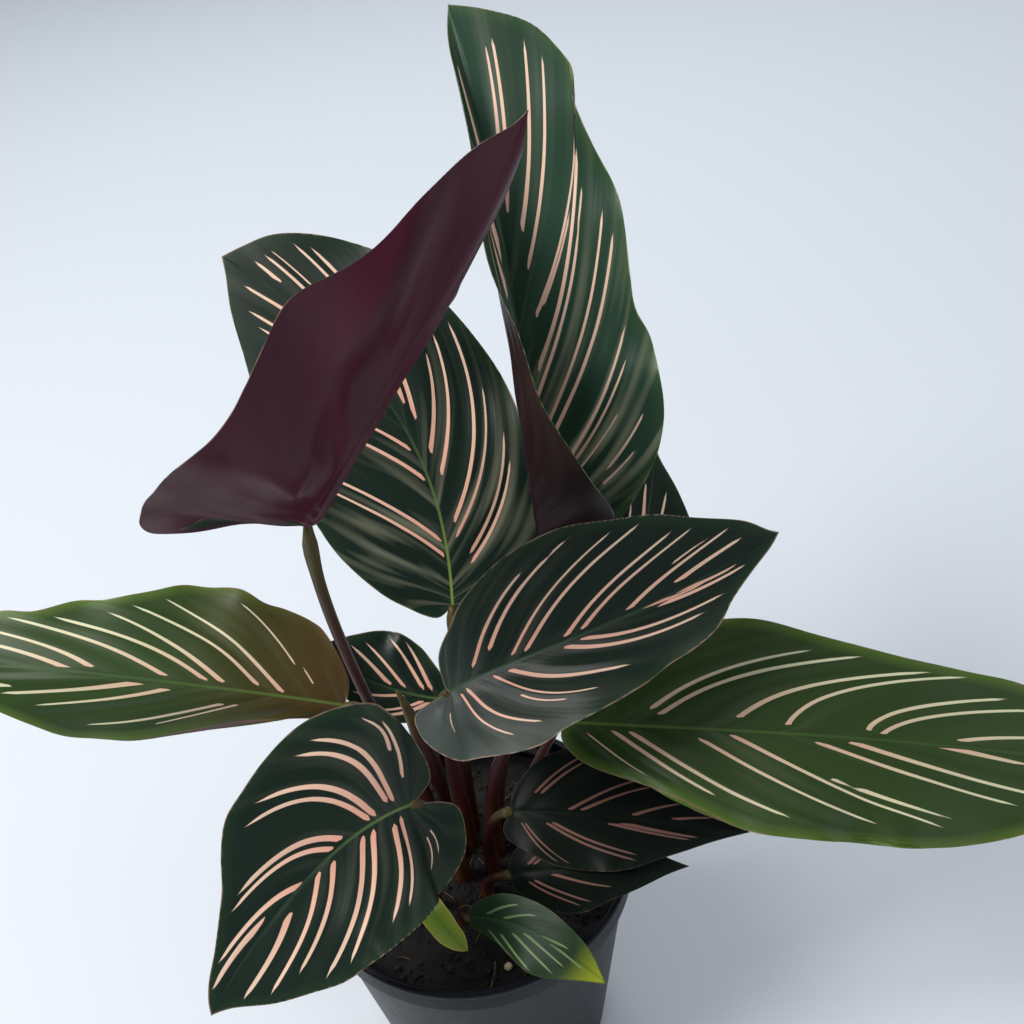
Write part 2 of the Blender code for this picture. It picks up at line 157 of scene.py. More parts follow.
LEAVES = {
    "back_right_upright": Leaf(
        spine=((35, 41, 176), (34.5, 52, 218), (36, 73, 270), (27, 111, 308)),
        faces=((-0.3, -0.9, 0.4), (-0.1, -0.8, 0.6)),
        left=Half(
            edge=((0, 22), (0.06, 30), (0.15, 36), (0.28, 36), (0.42, 30), (0.55, 25),
                  (0.7, 16), (0.85, 7), (0.95, 2.5)),
            fold=(170, 100, 110), wave=(1.5, 3, 0),
            stripes=((0.48, 0.47, 0.12, 0.85), (0.52, 0.51, 0.12, 0.88), (0.64, 0.62, 0.1, 0.9),
                     (0.68, 0.66, 0.1, 0.9), (0.76, 0.74, 0.1, 0.85), (0.79, 0.77, 0.12, 0.92),
                     (0.87, 0.86, 0.2, 0.94), (0.9, 0.89, 0.25, 0.94), (0.94, 0.95, 0.3, 0.9))),
        right=Half(
            edge=((-0.03, 6), (0, 16), (0.05, 24), (0.15, 34), (0.26, 38), (0.36, 36.2),
                  (0.42, 32.8), (0.48, 32.6), (0.6, 32.8), (0.7, 28.3), (0.78, 25.8),
                  (0.82, 27.3), (0.85, 26.3), (0.92, 20), (0.97, 9)),
            wave=(2.0, 4, 0.1),
            stripes=((0.345, 0.34, 0.48, 0.75), (0.375, 0.378, 0.53, 0.85), (0.5, 0.465, 0.15, 0.87),
                     (0.53, 0.5, 0.15, 0.9), (0.645, 0.625, 0.1, 0.92), (0.68, 0.66, 0.1, 0.92),
                     (0.755, 0.732, 0.1, 0.78), (0.783, 0.752, 0.15, 0.92), (0.832, 0.79, 0.22, 0.97),
                     (0.875, 0.866, 0.26, 0.95), (0.9, 0.895, 0.32, 0.96), (0.932, 0.945, 0.2, 0.92),
                     (0.948, 0.957, 0.25, 0.88)),
            wisps=((0.46, 0.44, 0.2, 0.72), (0.735, 0.728, 0.79, 0.88), (0.822, 0.8, 0.3, 0.7))),
        # painted light: this leaf gets the lighter, lit copy of the dark cuticle and the most painted
        # sheen
        foot=(9, 9), painted_sheen_amount=1.5, kind="painted_lit"),
    "left_upright": Leaf(
        spine=((-24, 2, 224), (-1, -14, 267), (21, -24, 299), (40, 5, 321)),
        faces=((-0.3, 0.9, 0.2), (-0.3, 0.9, 0.0)),
        left=Half(
            edge=((0.02, 10), (0.1, 20), (0.25, 27), (0.4, 30), (0.55, 28), (0.7, 22),
                  (0.85, 11), (0.95, 2.8)),
            fold=(48, 56, 50),
            stripes=((0.45, 0.46, 0.12, 0.85), (0.5, 0.51, 0.12, 0.88), (0.63, 0.64, 0.1, 0.9),
                     (0.68, 0.69, 0.1, 0.9), (0.79, 0.8, 0.1, 0.92), (0.83, 0.84, 0.12, 0.92),
                     (0.91, 0.92, 0.2, 0.92))),
        right=Half(
            edge=((0.03, 4), (0.06, 12), (0.05, 26), (0.01, 36), (0.05, 42), (0.2, 45.5),
                  (0.34, 43), (0.42, 34), (0.5, 30), (0.6, 28), (0.7, 20), (0.8, 15), (0.9, 7.5),
                  (0.96, 2.2)),
            fold=(0, -8, 15), wave=(2.0, 2.5, 0.1),
            creases=((-0.08, 1.8, 0.05), (0.16, -3.5, 0.09), (0.4, 4.5, 0.1)),
            ridges=((0.3, -4.0, 0.12), (0.72, 2.0, 0.15)),
            stripes=((0.42, 0.43, 0.2, 0.85), (0.47, 0.48, 0.15, 0.88), (0.6, 0.6, 0.1, 0.9),
                     (0.65, 0.65, 0.1, 0.9), (0.75, 0.76, 0.1, 0.92), (0.79, 0.8, 0.12, 0.92),
                     (0.87, 0.88, 0.15, 0.92), (0.91, 0.92, 0.2, 0.92))),
        foot=(-6, 1), stalk_handles=((-12, 4, 115), (-31, 12, 180))),
    "back_left": Leaf(
        spine=((5, 38, 157), (8.5, 54, 192), (1, 72, 221), (-48, 101, 248)),
        faces=((0.0, -0.9, 0.5), (0.0, -0.8, 0.6)),
        left=Half(
            edge=((-0.03, 5), (0, 14), (0.04, 21), (0.11, 28), (0.19, 33), (0.3, 36),
                  (0.45, 37), (0.6, 34.5), (0.73, 28), (0.82, 21), (0.91, 12.5), (0.97, 4)),
            wave=(1.0, 2, 0),
            stripes=((0.595, 0.553, 0.02, 0.85), (0.645, 0.605, 0.03, 0.85), (0.79, 0.75, 0.04, 0.75),
                     (0.81, 0.828, 0.4, 0.93), (0.835, 0.8, 0.07, 0.7), (0.88, 0.897, 0.15, 0.9),
                     (0.905, 0.92, 0.15, 0.92), (0.962, 0.965, 0.2, 0.9)),
            wisps=((0.785, 0.8, 0.5, 0.93),)),
        right=Half(
            edge=((-0.03, 6), (0, 15), (0.06, 24), (0.14, 30), (0.28, 31), (0.4, 32),
                  (0.5, 31.5), (0.6, 30.5), (0.7, 29), (0.8, 24), (0.87, 19), (0.93, 13), (0.97, 6)),
            wave=(2.0, 3, 0.35),
            stripes=((0.45, 0.472, 0.2, 0.76), (0.495, 0.505, 0.2, 0.8), (0.615, 0.578, 0.1, 0.82),
                     (0.655, 0.63, 0.12, 0.92), (0.757, 0.713, 0.15, 0.79), (0.8, 0.757, 0.15, 0.68),
                     (0.84, 0.862, 0.2, 0.95), (0.865, 0.885, 0.2, 0.96), (0.935, 0.945, 0.25, 0.93),
                     (0.968, 0.968, 0.7, 0.9)),
            wisps=((0.925, 0.93, 0.75, 0.95),)),
        foot=(1, 12), painted_sheen_amount=0.7, rib_glow=1.0),
    "back_right_low": Leaf(
        spine=((48, 46, 117), (62, 55, 133), (70, 70, 152), (75, 89, 167)),
        faces=((0.0, -0.7, 0.7), (0.0, -0.7, 0.7)),
        left=Half(
            edge=((0, 6), (0.05, 12), (0.2, 18), (0.4, 20), (0.6, 17), (0.8, 9), (0.93, 3)),
            stripes=((0.6, 0.62, 0.15, 0.85), (0.66, 0.68, 0.15, 0.85), (0.8, 0.85, 0.3, 0.85),
                     (0.925, 0.94, 0.3, 0.8))),
        right=Half(
            edge=((0, 6), (0.05, 12), (0.2, 18), (0.4, 20), (0.6, 17), (0.8, 9), (0.93, 2.5)),
            stripes=((0.6, 0.62, 0.15, 0.85), (0.65, 0.67, 0.15, 0.85), (0.85, 0.88, 0.3, 0.9))),
        foot=(15, 5), stalk_radius=1.3),
    "front_centre": Leaf(
        spine=((3, -6, 167), (23, -8, 180), (58, -8, 186), (95, 7, 197)),
        left=Half(
            edge=((0, 3), (0.03, 10), (0.1, 16), (0.16, 21), (0.27, 26), (0.38, 28),
                  (0.48, 28), (0.6, 25), (0.72, 21), (0.82, 15), (0.93, 8), (0.98, 2)),
            fold=(20, 20, 20), wave=(1.0, 2, 0), bow=0.02,
            stripes=((0.505, 0.5, 0.1, 0.76), (0.565, 0.548, 0.2, 0.84), (0.692, 0.648, 0.08, 0.93),
                     (0.735, 0.698, 0.07, 0.96), (0.825, 0.79, 0.08, 0.93), (0.85, 0.825, 0.1, 0.95),
                     (0.91, 0.905, 0.15, 0.95), (0.94, 0.95, 0.4, 0.9)),
            wisps=((0.548, 0.552, 0.86, 0.93), (0.885, 0.89, 0.7, 0.9))),
        right=Half(
            edge=((-0.12, 1), (-0.13, 6), (-0.09, 13), (-0.01, 20), (0.07, 22), (0.21, 24),
                  (0.3, 22), (0.42, 22), (0.5, 20), (0.58, 17), (0.66, 16), (0.73, 14),
                  (0.8, 9), (0.88, 5), (0.96, 2)),
            fold=(20, 20, 20), wave=(2.0, 2.5, 0.2), bow=0.03,
            stripes=((0.38, 0.42, 0.08, 0.78), (0.452, 0.485, 0.06, 0.83), (0.62, 0.63, 0.06, 0.82),
                     (0.675, 0.715, 0.08, 0.8), (0.815, 0.84, 0.1, 0.9), (0.847, 0.875, 0.1, 0.93),
                     (0.93, 0.95, 0.3, 0.88), (0.945, 0.955, 0.02, 0.5), (0.965, 0.97, 0.1, 0.7)),
            wisps=((0.21, 0.245, 0.35, 0.62), (0.575, 0.595, 0.42, 0.72))),
        foot=(0, 5), stalk_handles=((0, 6, 120), (-3, 1, 150)), stripe_width=0.95,
        # painted sheen: this leaf's second colour is a grey sheen painted on its base lobe
        zone=(0.16, -0.08), rib_glow=0.0),
    "right_long": Leaf(
        spine=((33, 1, 141), (70, -13, 146), (121, -24, 148), (194, -26, 119)),
        left=Half(
            edge=((0, 6), (0.04, 15), (0.13, 25), (0.2, 29), (0.28, 31), (0.36, 30),
                  (0.47, 26), (0.56, 23), (0.66, 21), (0.76, 19), (0.86, 13), (0.94, 6)),
            fold=(10, 10, 10), curl=-15, wave=(1.2, 4, 0), sweep=0.5,
            stripes=((0.58, 0.515, 0.2, 0.92), (0.622, 0.565, 0.15, 0.95), (0.758, 0.682, 0.18, 0.94),
                     (0.825, 0.72, 0.15, 0.96), (0.89, 0.818, 0.22, 0.93), (0.905, 0.855, 0.18, 0.93),
                     (0.945, 0.935, 0.3, 0.9))),
        right=Half(
            edge=((0, 5), (0.03, 10), (0.07, 13), (0.14, 16), (0.19, 18.5), (0.25, 22.5),
                  (0.32, 27), (0.44, 28), (0.58, 28), (0.68, 26), (0.76, 22), (0.86, 14), (0.94, 6)),
            fold=(10, 10, 10), curl=-15, wave=(1.8, 5, 0.3),
            stripes=((0.51, 0.48, 0.06, 0.64), (0.57, 0.53, 0.06, 0.8), (0.705, 0.65, 0.1, 0.84),
                     (0.752, 0.745, 0.62, 0.88), (0.77, 0.71, 0.06, 0.9), (0.85, 0.83, 0.13, 0.9),
                     (0.885, 0.87, 0.1, 0.93), (0.948, 0.948, 0.12, 0.6)),
            wisps=((0.35, 0.385, 0.1, 0.5), (0.755, 0.75, 0.52, 0.6))),
        foot=(8, 2), stalk_handles=((8, 2, 125), (16, 7, 138)), kind="mid"),
    "left_long": Leaf(
        spine=((-31, 23, 136), (-60, 22, 150), (-109, 26, 164), (-162, 40, 165)),
        faces=((0.0, -0.5, 0.9), (0.0, -0.5, 0.9)),
        left=Half(
            edge=((0, 4), (0.1, 6.5), (0.2, 9.5), (0.28, 13), (0.37, 17), (0.47, 20.5),
                  (0.58, 22), (0.67, 18), (0.75, 14), (0.86, 9), (0.95, 4)),
            fold=(-50, -30, -20), curl=-20, wave=(1.0, 3, 0),
            stripes=((0.68, 0.655, 0.25, 0.88), (0.812, 0.772, 0.18, 0.87), (0.86, 0.84, 0.15, 0.87),
                     (0.885, 0.88, 0.75, 0.9)),
            wisps=((0.655, 0.632, 0.22, 0.68),)),
        right=Half(
            edge=((0, 8), (0.06, 21), (0.1, 25), (0.16, 27.5), (0.21, 28), (0.27, 31),
                  (0.33, 32), (0.39, 31), (0.46, 27), (0.55, 23), (0.62, 22), (0.7, 17),
                  (0.78, 16), (0.88, 11), (0.95, 5)),
            curl=-10, wave=(1.8, 4, 0.3), sweep=0.4,
            stripes=((0.62, 0.51, 0.04, 0.95), (0.67, 0.58, 0.1, 0.94), (0.75, 0.66, 0.1, 0.9),
                     (0.778, 0.725, 0.1, 0.95), (0.837, 0.81, 0.12, 0.95), (0.908, 0.875, 0.2, 0.93),
                     (0.935, 0.92, 0.15, 0.9)),
            wisps=((0.44, 0.43, 0.15, 0.3), (0.455, 0.415, 0.33, 0.83))),
        foot=(-10, 8), kind="mid", zone=(0.4, 0.05)),
    "front_left": Leaf(
        spine=((-12, -19, 138), (-26, -30, 147), (-47, -40, 137), (-71, -57, 109)),
        faces=((0.0, -0.7, 0.7), (0.0, -0.8, 0.6)),
        left=Half(
            edge=((-0.12, 1.5), (-0.2, 4.5), (-0.205, 10.5), (-0.165, 17.5), (-0.05, 23.5),
                  (0.15, 28.5), (0.35, 29), (0.52, 27), (0.62, 25), (0.72, 20), (0.84, 13), (0.94, 4)),
            fold=(8, 8, 8),
            stripes=((0.455, 0.505, 0.06, 0.8), (0.522, 0.575, 0.1, 0.84), (0.655, 0.705, 0.05, 0.92),
                     (0.703, 0.758, 0.05, 0.95), (0.805, 0.83, 0.08, 0.88), (0.847, 0.882, 0.06, 0.95),
                     (0.903, 0.938, 0.25, 0.95)),
            wisps=((0.23, 0.27, 0.45, 0.7), (0.27, 0.33, 0.45, 0.75)), bow=0.045),
        right=Half(
            edge=((-0.06, 2), (-0.11, 6), (-0.08, 14), (0.01, 25), (0.05, 30), (0.12, 32.5),
                  (0.2, 33), (0.3, 31), (0.38, 29), (0.46, 27), (0.54, 22), (0.62, 16),
                  (0.7, 12), (0.8, 8), (0.9, 5), (0.96, 2.5)),
            fold=(8, 8, 8),
            stripes=((0.275, 0.31, 0.3, 0.82), (0.323, 0.347, 0.52, 0.85), (0.455, 0.437, 0.08, 0.87),
                     (0.5, 0.475, 0.1, 0.86), (0.615, 0.58, 0.05, 0.88), (0.65, 0.625, 0.05, 0.9),
                     (0.75, 0.77, 0.1, 0.9), (0.79, 0.8, 0.08, 0.92), (0.89, 0.905, 0.04, 0.93),
                     (0.927, 0.955, 0.35, 0.95)), bow=0.05),
        foot=(-3, -6), stalk_handles=((-3, -7, 112), (-7, -11, 128)), stripe_width=1.6, rib_glow=0.5),
    "back_small": Leaf(
        spine=((-2, 33, 122), (-14, 33, 126), (-27, 37, 130), (-42, 45, 140)),
        left=Half(
            edge=((0, 4), (0.15, 8), (0.35, 10), (0.55, 9), (0.72, 6), (0.88, 3)),
            stripes=((0.5, 0.5, 0.15, 0.85), (0.58, 0.57, 0.15, 0.85), (0.75, 0.74, 0.15, 0.85))),
        right=Half(
            edge=((0, 5), (0.1, 10), (0.25, 15), (0.45, 17), (0.62, 15.5), (0.8, 10), (0.93, 4)),
            stripes=((0.5, 0.49, 0.12, 0.9), (0.6, 0.59, 0.12, 0.9), (0.75, 0.74, 0.12, 0.9),
                     (0.83, 0.82, 0.12, 0.9))),
        foot=(-4, 15), stalk_radius=1.1),
    "front_right_upper": Leaf(
        spine=((15, -8, 115), (34, -13, 118), (57, -19, 115), (83, -18, 104)),
        left=Half(
            edge=((0, 6), (0.1, 15), (0.25, 20), (0.4, 21), (0.55, 18), (0.7, 13), (0.85, 7),
                  (0.95, 2)),
            fold=(-10, -10, -10),
            stripes=((0.42, 0.44, 0.25, 0.8), (0.47, 0.48, 0.25, 0.75), (0.72, 0.68, 0.08, 0.85),
                     (0.76, 0.735, 0.1, 0.8), (0.88, 0.845, 0.2, 0.8), (0.93, 0.925, 0.4, 0.85))),
        right=Half(
            edge=((-0.04, 4), (-0.02, 8), (0.09, 12), (0.2, 15), (0.36, 15.5), (0.5, 14),
                  (0.63, 10), (0.73, 7), (0.83, 4), (0.93, 1.5)),
            stripes=((0.3, 0.34, 0.2, 0.9), (0.35, 0.39, 0.2, 0.9), (0.55, 0.62, 0.2, 0.95),
                     (0.59, 0.65, 0.2, 0.9), (0.8, 0.84, 0.3, 0.9), (0.84, 0.87, 0.3, 0.9))),
        # painted shade: this leaf gets the darker, shaded copy of the dark cuticle
        foot=(6, -5), stalk_radius=1.3, stripe_width=0.9, kind="painted_shade", painted_sheen_amount=0.0, rib_glow=0.0),
    "front_right_lower": Leaf(
        spine=((12, -18, 99), (27, -21, 104), (48, -26, 104), (64, -24, 100)),
        left=Half(
            edge=((0, 4), (0.1, 9), (0.3, 13), (0.5, 12), (0.7, 8), (0.87, 3)),
            fold=(-10, -10, -10),
            stripes=((0.5, 0.5, 0.15, 0.8), (0.56, 0.55, 0.15, 0.8), (0.74, 0.73, 0.15, 0.85),
                     (0.79, 0.78, 0.15, 0.8))),
        right=Half(
            edge=((0, 3), (0.05, 7), (0.14, 10), (0.29, 13), (0.42, 12), (0.55, 9.5), (0.7, 6),
                  (0.87, 2)),
            fold=(-15, -15, -15),
            stripes=((0.45, 0.5, 0.2, 0.9), (0.52, 0.56, 0.2, 0.9), (0.7, 0.72, 0.15, 0.85))),
        # painted shade: this leaf gets the darker, shaded copy of the dark cuticle
        foot=(4, -13), stalk_radius=1.2, stripe_width=0.8, kind="painted_shade", painted_sheen_amount=0.0, rib_glow=0.0),
    "front_small": Leaf(
        spine=((-1, -29, 96), (11, -35, 104), (25, -47, 105), (35, -56, 97)),
        left=Half(
            edge=((0, 2.5), (0.11, 5.5), (0.22, 7.5), (0.38, 8), (0.52, 7.5), (0.67, 6),
                  (0.82, 4), (0.93, 1.5)),
            wave=(0.5, 2, 0),
            stripes=((0.55, 0.52, 0.15, 0.75), (0.72, 0.66, 0.15, 0.75), (0.92, 0.92, 0.1, 0.6))),
        right=Half(
            edge=((0, 2.5), (0.12, 4.5), (0.3, 7), (0.46, 9.5), (0.6, 10), (0.72, 8),
                  (0.82, 5.5), (0.92, 2.5)),
            wave=(0.5, 2, 0.3),
            stripes=((0.5, 0.5, 0.3, 0.85), (0.63, 0.6, 0.35, 0.95), (0.745, 0.74, 0.3, 0.95),
                     (0.83, 0.85, 0.2, 0.85), (0.93, 0.95, 0.2, 0.8))),
        foot=(-4, -21), stalk_radius=1.0, stripe_width=0.75, kind="fresh", zone=(0.75, 1.02),
        painted_sheen_amount=0.0, rib_glow=0.0),
    "front_young": Leaf(
        spine=((-12, -21, 98), (-13, -26, 101), (-10, -32, 99), (-3, -35, 89)),
        left=Half(edge=((0.05, 2), (0.25, 3.6), (0.55, 4), (0.8, 2.8), (0.95, 1)), fold=(45, 40, 30),
                  wave=(0.4, 2, 0)),
        right=Half(edge=((0.02, 2.2), (0.2, 3.9), (0.5, 4.3), (0.78, 3), (0.93, 1.4)), fold=(45, 40, 30),
                   wave=(0.4, 2, 0.3)),
        foot=(-11, -15), stalk_radius=0.9, kind="young"),
}

# Places and sizes in mm, as in the solids
ROLLED_LEAF_PATH = ((-4.5, 7.5, 84), (-5, 8, 108), (-8, 12, 130), (-14, 17, 146))
ROLLED_LEAF_RADII = (1.3, 1.3, 1.5, 2.2, 2.6, 2.3, 1.4, 0.4)
POT_HEIGHT = 90.0
RIM_RADIUS = 50.0
RIM_BAND = 10.0
RIM_ROLL = 1.2
RIM_STEP = 1.2
WALL_TOP_RADIUS = 47.6
FOOT_RADIUS = 36.0
FOOT_ROUND = 1.5
WALL = 1.2
FLOOR = 1.5
DRAIN_HOLES = 6
DRAIN_CIRCLE = 24.0
DRAIN_RADIUS = 4.0
BEAD_PLACE = (8.0, -38.0, 82.9)
BEAD_RADIUS = 1.2
SOIL_TOP = 82.0
SOIL_MOUND = 2.0
STALK_DEPTH = 12.0

# Finer than the solids, in mm: the rim's band stands back under its roll, which ends at two
# depths counted in its radius, and edges are softened inside and outside
BAND_SETBACK = 0.35
ROLL_DEPTHS = (1.7, 2.1)
INSIDE_ROUND = 0.8
OUTSIDE_ROUND = 0.6
POT_SPOKES = 160

# Peat, in mm: height of lumps and grit and how many fit in a mm, how the edge drops and is less
# rough, and where the foot is
LUMP_HEIGHT = 1.1
LUMP_FINENESS = 0.16
LUMP_FRACTAL = (0.8, 2.1, 4)
GRIT_HEIGHT = 0.5
GRIT_FINENESS = 1.1
EDGE_DROP = 2.0
EDGE_ROUGHNESS = 0.2
PEAT_FOOT = 1.8
PEAT_FOOT_SHARE = 0.765
PEAT_RINGS = 60
PEAT_SPOKES = 180

# Loose litter, in mm: crumbs keep clear of stalks, bead and wall, and a strand runs in steps
CRUMB_SIZE = (0.3, 0.7)
LARGE_CRUMB = 0.7
CRUMB_CORNERS = 42
CRUMB_DENT = 0.35
WALL_CLEARANCE = 2.5
STALK_CLEARANCE = 3.2
BEAD_CLEARANCE = 2.0
STRAW = ((4.2, -35.5), -1.6, 8.5, 0.32)
FIBRE_LENGTH = (4.0, 11.0)
FIBRE_RADIUS = (0.09, 0.19)
FIBRE_TURN = 0.12
FIBRE_POINTS = 14
FEWEST_POINTS = 4
FIBRE_LIFT = 0.15
FIBRE_START_CLEARANCE = 8.0
FIBRE_CLEARANCE = 2.0

# Stalks, as shares: where the sheath, the joint and the neck lie, and how they change the radius
SHEATH_SWELL = 0.6
SHEATH_END = 0.5
JOINT_SWELL = 0.25
JOINT_PLACE = 0.93
JOINT_WIDTH = 0.05
NECK_SLIMMING = 0.35
NECK_START = 0.95
HANDLE_SHARES = (0.4, 0.3)
# and their points, sides and the overlap of their skin, as on a rolled sheath
STALK_POINTS = 40
STALK_SIDES = 14
STALK_SEAM = 0.12
ROLL_POINTS = 48
ROLL_SIDES = 24
ROLL_SEAM = 0.22

# Camera fitted to the pot's rim, in metres and degrees
CAMERA_PLACE = (0.02628, -0.25272, 0.43122)
CAMERA_TILT = 50.3
CAMERA_ROLL = -7.5
CAMERA_VIEW = 42.0
CAMERA_NEAREST = 0.01
SENSOR_WIDTH = 36.0


def linear(code):
    """Linear colour with alpha from an sRGB hex code."""
    parts = [int(code[i:i + 2], 16) / 255 for i in (1, 3, 5)]
    return (*[c / 12.92 if c <= 0.04045 else ((c + 0.055) / 1.055) ** 2.4 for c in parts], 1.0)


def colour_property(name, description, code):
    """Colour setting whose default is an sRGB hex code."""
    return bpy.props.FloatVectorProperty(
        name=name, description=description, subtype="COLOR", size=4, min=0.0, max=1.0,
        default=linear(code))


def length_property(name, description, default):
    """Setting in metres."""
    return bpy.props.FloatProperty(
        name=name, description=description, default=default, min=0.0, unit="LENGTH")


def power_property(name, description, default):
    """Setting in watts."""
    return bpy.props.FloatProperty(
        name=name, description=description, default=default, min=0.0, unit="POWER")


class CalatheaBladeSettings(bpy.types.PropertyGroup):
    """Sizes and colours of the blades."""

    thickness: length_property("Thickness", "Thickness of a blade at its middle", 0.00045)
    midrib: length_property(
        "Midrib", "How far the midrib stands out under the base of a blade", 0.0009)
    quilting: length_property(
        "Quilting", "Height of the soft swells between the side veins", 0.00022)
    deep_green: colour_property("Deep green", "Upper side of the dark leaves", "#0c1a12")
    mid_green: colour_property("Mid green", "Upper side of the two long leaves", "#1d3315")
    young_green: colour_property("Young green", "Upper side of the youngest leaf", "#7c9a2c")
    fresh_green: colour_property("Fresh green", "Upper side of the small front leaf", "#142a18")
    pink: colour_property("Pink", "Stripes near the midrib", "#e8a48e")
    cream: colour_property("Cream", "Stripes near the margin", "#f6d6bb")
    maroon: colour_property("Maroon", "Underside of a blade", "#280612")


class CalatheaStalkSettings(bpy.types.PropertyGroup):
    """Colours of the stalks."""

    maroon: colour_property("Maroon", "Middle of a stalk", "#481b19")
    olive: colour_property("Olive", "Stalk below its blade", "#5f5a26")
    sheath: colour_property("Sheath", "Dry sheath at a stalk's foot", "#74401f")


class CalatheaPotSettings(bpy.types.PropertyGroup):
    """Colour of the pot."""

    charcoal: colour_property("Charcoal", "Moulded plastic", "#0d0f15")


class CalatheaSoilSettings(bpy.types.PropertyGroup):
    """Grain and colours of the soil."""

    crumbs: bpy.props.IntProperty(
        name="Crumbs", description="Number of loose peat crumbs on top", default=520, min=0)
    fibres: bpy.props.IntProperty(
        name="Fibres", description="Number of loose plant fibres on top", default=46, min=0)
    dark: colour_property("Dark peat", "Moist peat", "#0b0a09")
    brown: colour_property("Brown peat", "Drier peat crumbs and fibres", "#1c1612")


class CalatheaStageSettings(bpy.types.PropertyGroup):
    """Floor and light."""

    floor: colour_property("Floor", "Plain pale floor", "#dde3ea")
    key: power_property("Key light", "Power of the large soft light", 13.0)
    fill: power_property("Fill light", "Power of the light from the right", 2.0)
    back: power_property("Back light", "Power of the light from behind", 6.0)
    sky: bpy.props.FloatProperty(
        name="Sky", description="Strength of the even light all around", default=0.36, min=0.0)


class CalatheaSettings(bpy.types.PropertyGroup):
    """All settings of the plant."""

    blade: bpy.props.PointerProperty(type=CalatheaBladeSettings)
    stalk: bpy.props.PointerProperty(type=CalatheaStalkSettings)
    pot: bpy.props.PointerProperty(type=CalatheaPotSettings)
    soil: bpy.props.PointerProperty(type=CalatheaSoilSettings)
    stage: bpy.props.PointerProperty(type=CalatheaStageSettings)


# Blade form: the same curves as the solids, on a finer net


def bezier(points, t):
    """Points and unit directions at t on a cubic through four control points."""
    p0, p1, p2, p3 = (np.array(point, float) for point in points)
    t = np.asarray(t, float)[..., None]
    s = 1.0 - t
    place = s**3 * p0 + 3 * s * s * t * p1 + 3 * s * t * t * p2 + t**3 * p3
    slope = s * s * (p1 - p0) + 2 * s * t * (p2 - p1) + t * t * (p3 - p2)
    return place, slope / np.linalg.norm(slope, axis=-1, keepdims=True)


class Spine:
    """A cubic curve looked up by the share of its length."""

    def __init__(self, points, samples=240):
        self.points = points
        self.steps = np.linspace(0.0, 1.0, samples)
        places = bezier(points, self.steps)[0]
        runs = np.linalg.norm(np.diff(places, axis=0), axis=1)
        self.travel = np.concatenate([[0.0], np.cumsum(runs)])
        self.length = float(self.travel[-1])

    def at(self, share):
        """Points and directions; a share outside 0 to 1 runs on straight."""
        inside = np.clip(share, 0.0, 1.0)
        t = np.interp(inside * self.length, self.travel, self.steps)
        place, along = bezier(self.points, t)
        return place + along * ((share - inside) * self.length)[..., None], along


def base_middle_tip(values, share):
    """Quadratic through the values at the base, the middle and the tip."""
    base, middle, tip = values
    return (base * (1 - share) * (1 - 2 * share) + 4 * middle * share * (1 - share)
            + tip * share * (2 * share - 1))


def outline(half, length):
    """Margin of the flat half blade in mm, a smooth curve through its edge points."""
    knots = np.array([(0.0, 0.0), *half.edge, (1.0, 0.0)]) * (length, 1.0)
    padded = np.vstack([knots[:1], knots, knots[-1:]])
    t = np.linspace(0.0, 1.0, 12, endpoint=False)[:, None]
    runs = []
    for before, here, there, after in zip(padded, padded[1:], padded[2:], padded[3:]):
        runs.append(0.5 * (2 * here + (there - before) * t
                           + (2 * before - 5 * here + 4 * there - after) * t**2
                           + (3 * here - before - 3 * there + after) * t**3))
    line = np.vstack([*runs, knots[-1:]])
    travel = np.concatenate([[0.0], np.cumsum(np.linalg.norm(np.diff(line, axis=0), axis=1))])
    return line, travel / travel[-1]


def flat_net(half, length, vein, v):
    """Distance along and out in mm on the flat half blade, at share v of a side vein."""
    line, travel = outline(half, length)
    far = np.interp(vein, travel, line[:, 0])
    wide = np.maximum(np.interp(vein, travel, line[:, 1]), 0.0)
    start = length * (1.0 - np.sqrt(1.0 - vein**half.spread))
    return start + (far - start) * ((1.0 - half.sweep) * v + half.sweep * v**4), wide * v


def vein_from_start(half, start):
    """Name of the side vein that leaves the midrib at a share of its length."""
    return (1.0 - (1.0 - start) ** 2) ** (1.0 / half.spread)


def bend(half, share, out):
    """Carry a distance across the flat half to sideways and raised distances in space."""
    width = max(point[1] for point in half.edge)
    fold = np.radians(base_middle_tip(half.fold, share))
    curl = math.radians(half.curl or LEAST_CURL) / width
    tight = fold / MIDRIB_ROUND + curl
    tight = np.where(np.abs(tight) < LEAST_BEND, LEAST_BEND, tight)
    near = np.minimum(out, MIDRIB_ROUND)
    turn = tight * near
    angle = turn + curl * (out - near)
    side = np.sin(turn) / tight + (np.sin(angle) - np.sin(turn)) / curl
    rise = (1 - np.cos(turn)) / tight + (np.cos(turn) - np.cos(angle)) / curl
    height, count, phase = half.wave
    beat = 2 * np.pi * (count * share + phase)
    ripple = height * (out / width) ** 2 * np.sin(beat)
    ripple = ripple + FRILL_HEIGHT * height * (out / width) ** 4 * np.sin(FRILL_COUNT * beat)
    for middle, lift, breadth in half.ridges:
        swell = np.exp(-((out / width - middle) / breadth) ** 2)
        ripple = ripple + lift * swell * np.sin(np.pi * share**1.5)
    for middle, lift, breadth in half.creases:
        swept = (share - CREASE_SWEEP * out / width - middle) / breadth
        ripple = ripple + lift * np.exp(-swept**2) * np.minimum(out / CREASE_RISE, 1.0)
    return side - np.sin(angle) * ripple, rise + np.cos(angle) * ripple


def in_space(leaf, spine, half, hand, along, out):
    """Places in mm of points given on the flat half blade."""
    share = along / spine.length
    place, forward = spine.at(share)
    inside = np.clip(share, 0.0, 1.0)
    first, last = (np.array(face, float) for face in leaf.faces)
    up = first + (last - first) * inside[..., None]
    up = up - forward * np.sum(up * forward, axis=-1, keepdims=True)
    up = up / np.linalg.norm(up, axis=-1, keepdims=True)
    side, rise = bend(half, inside, out)
    return place + np.cross(forward, up) * (hand * side)[..., None] + up * rise[..., None]


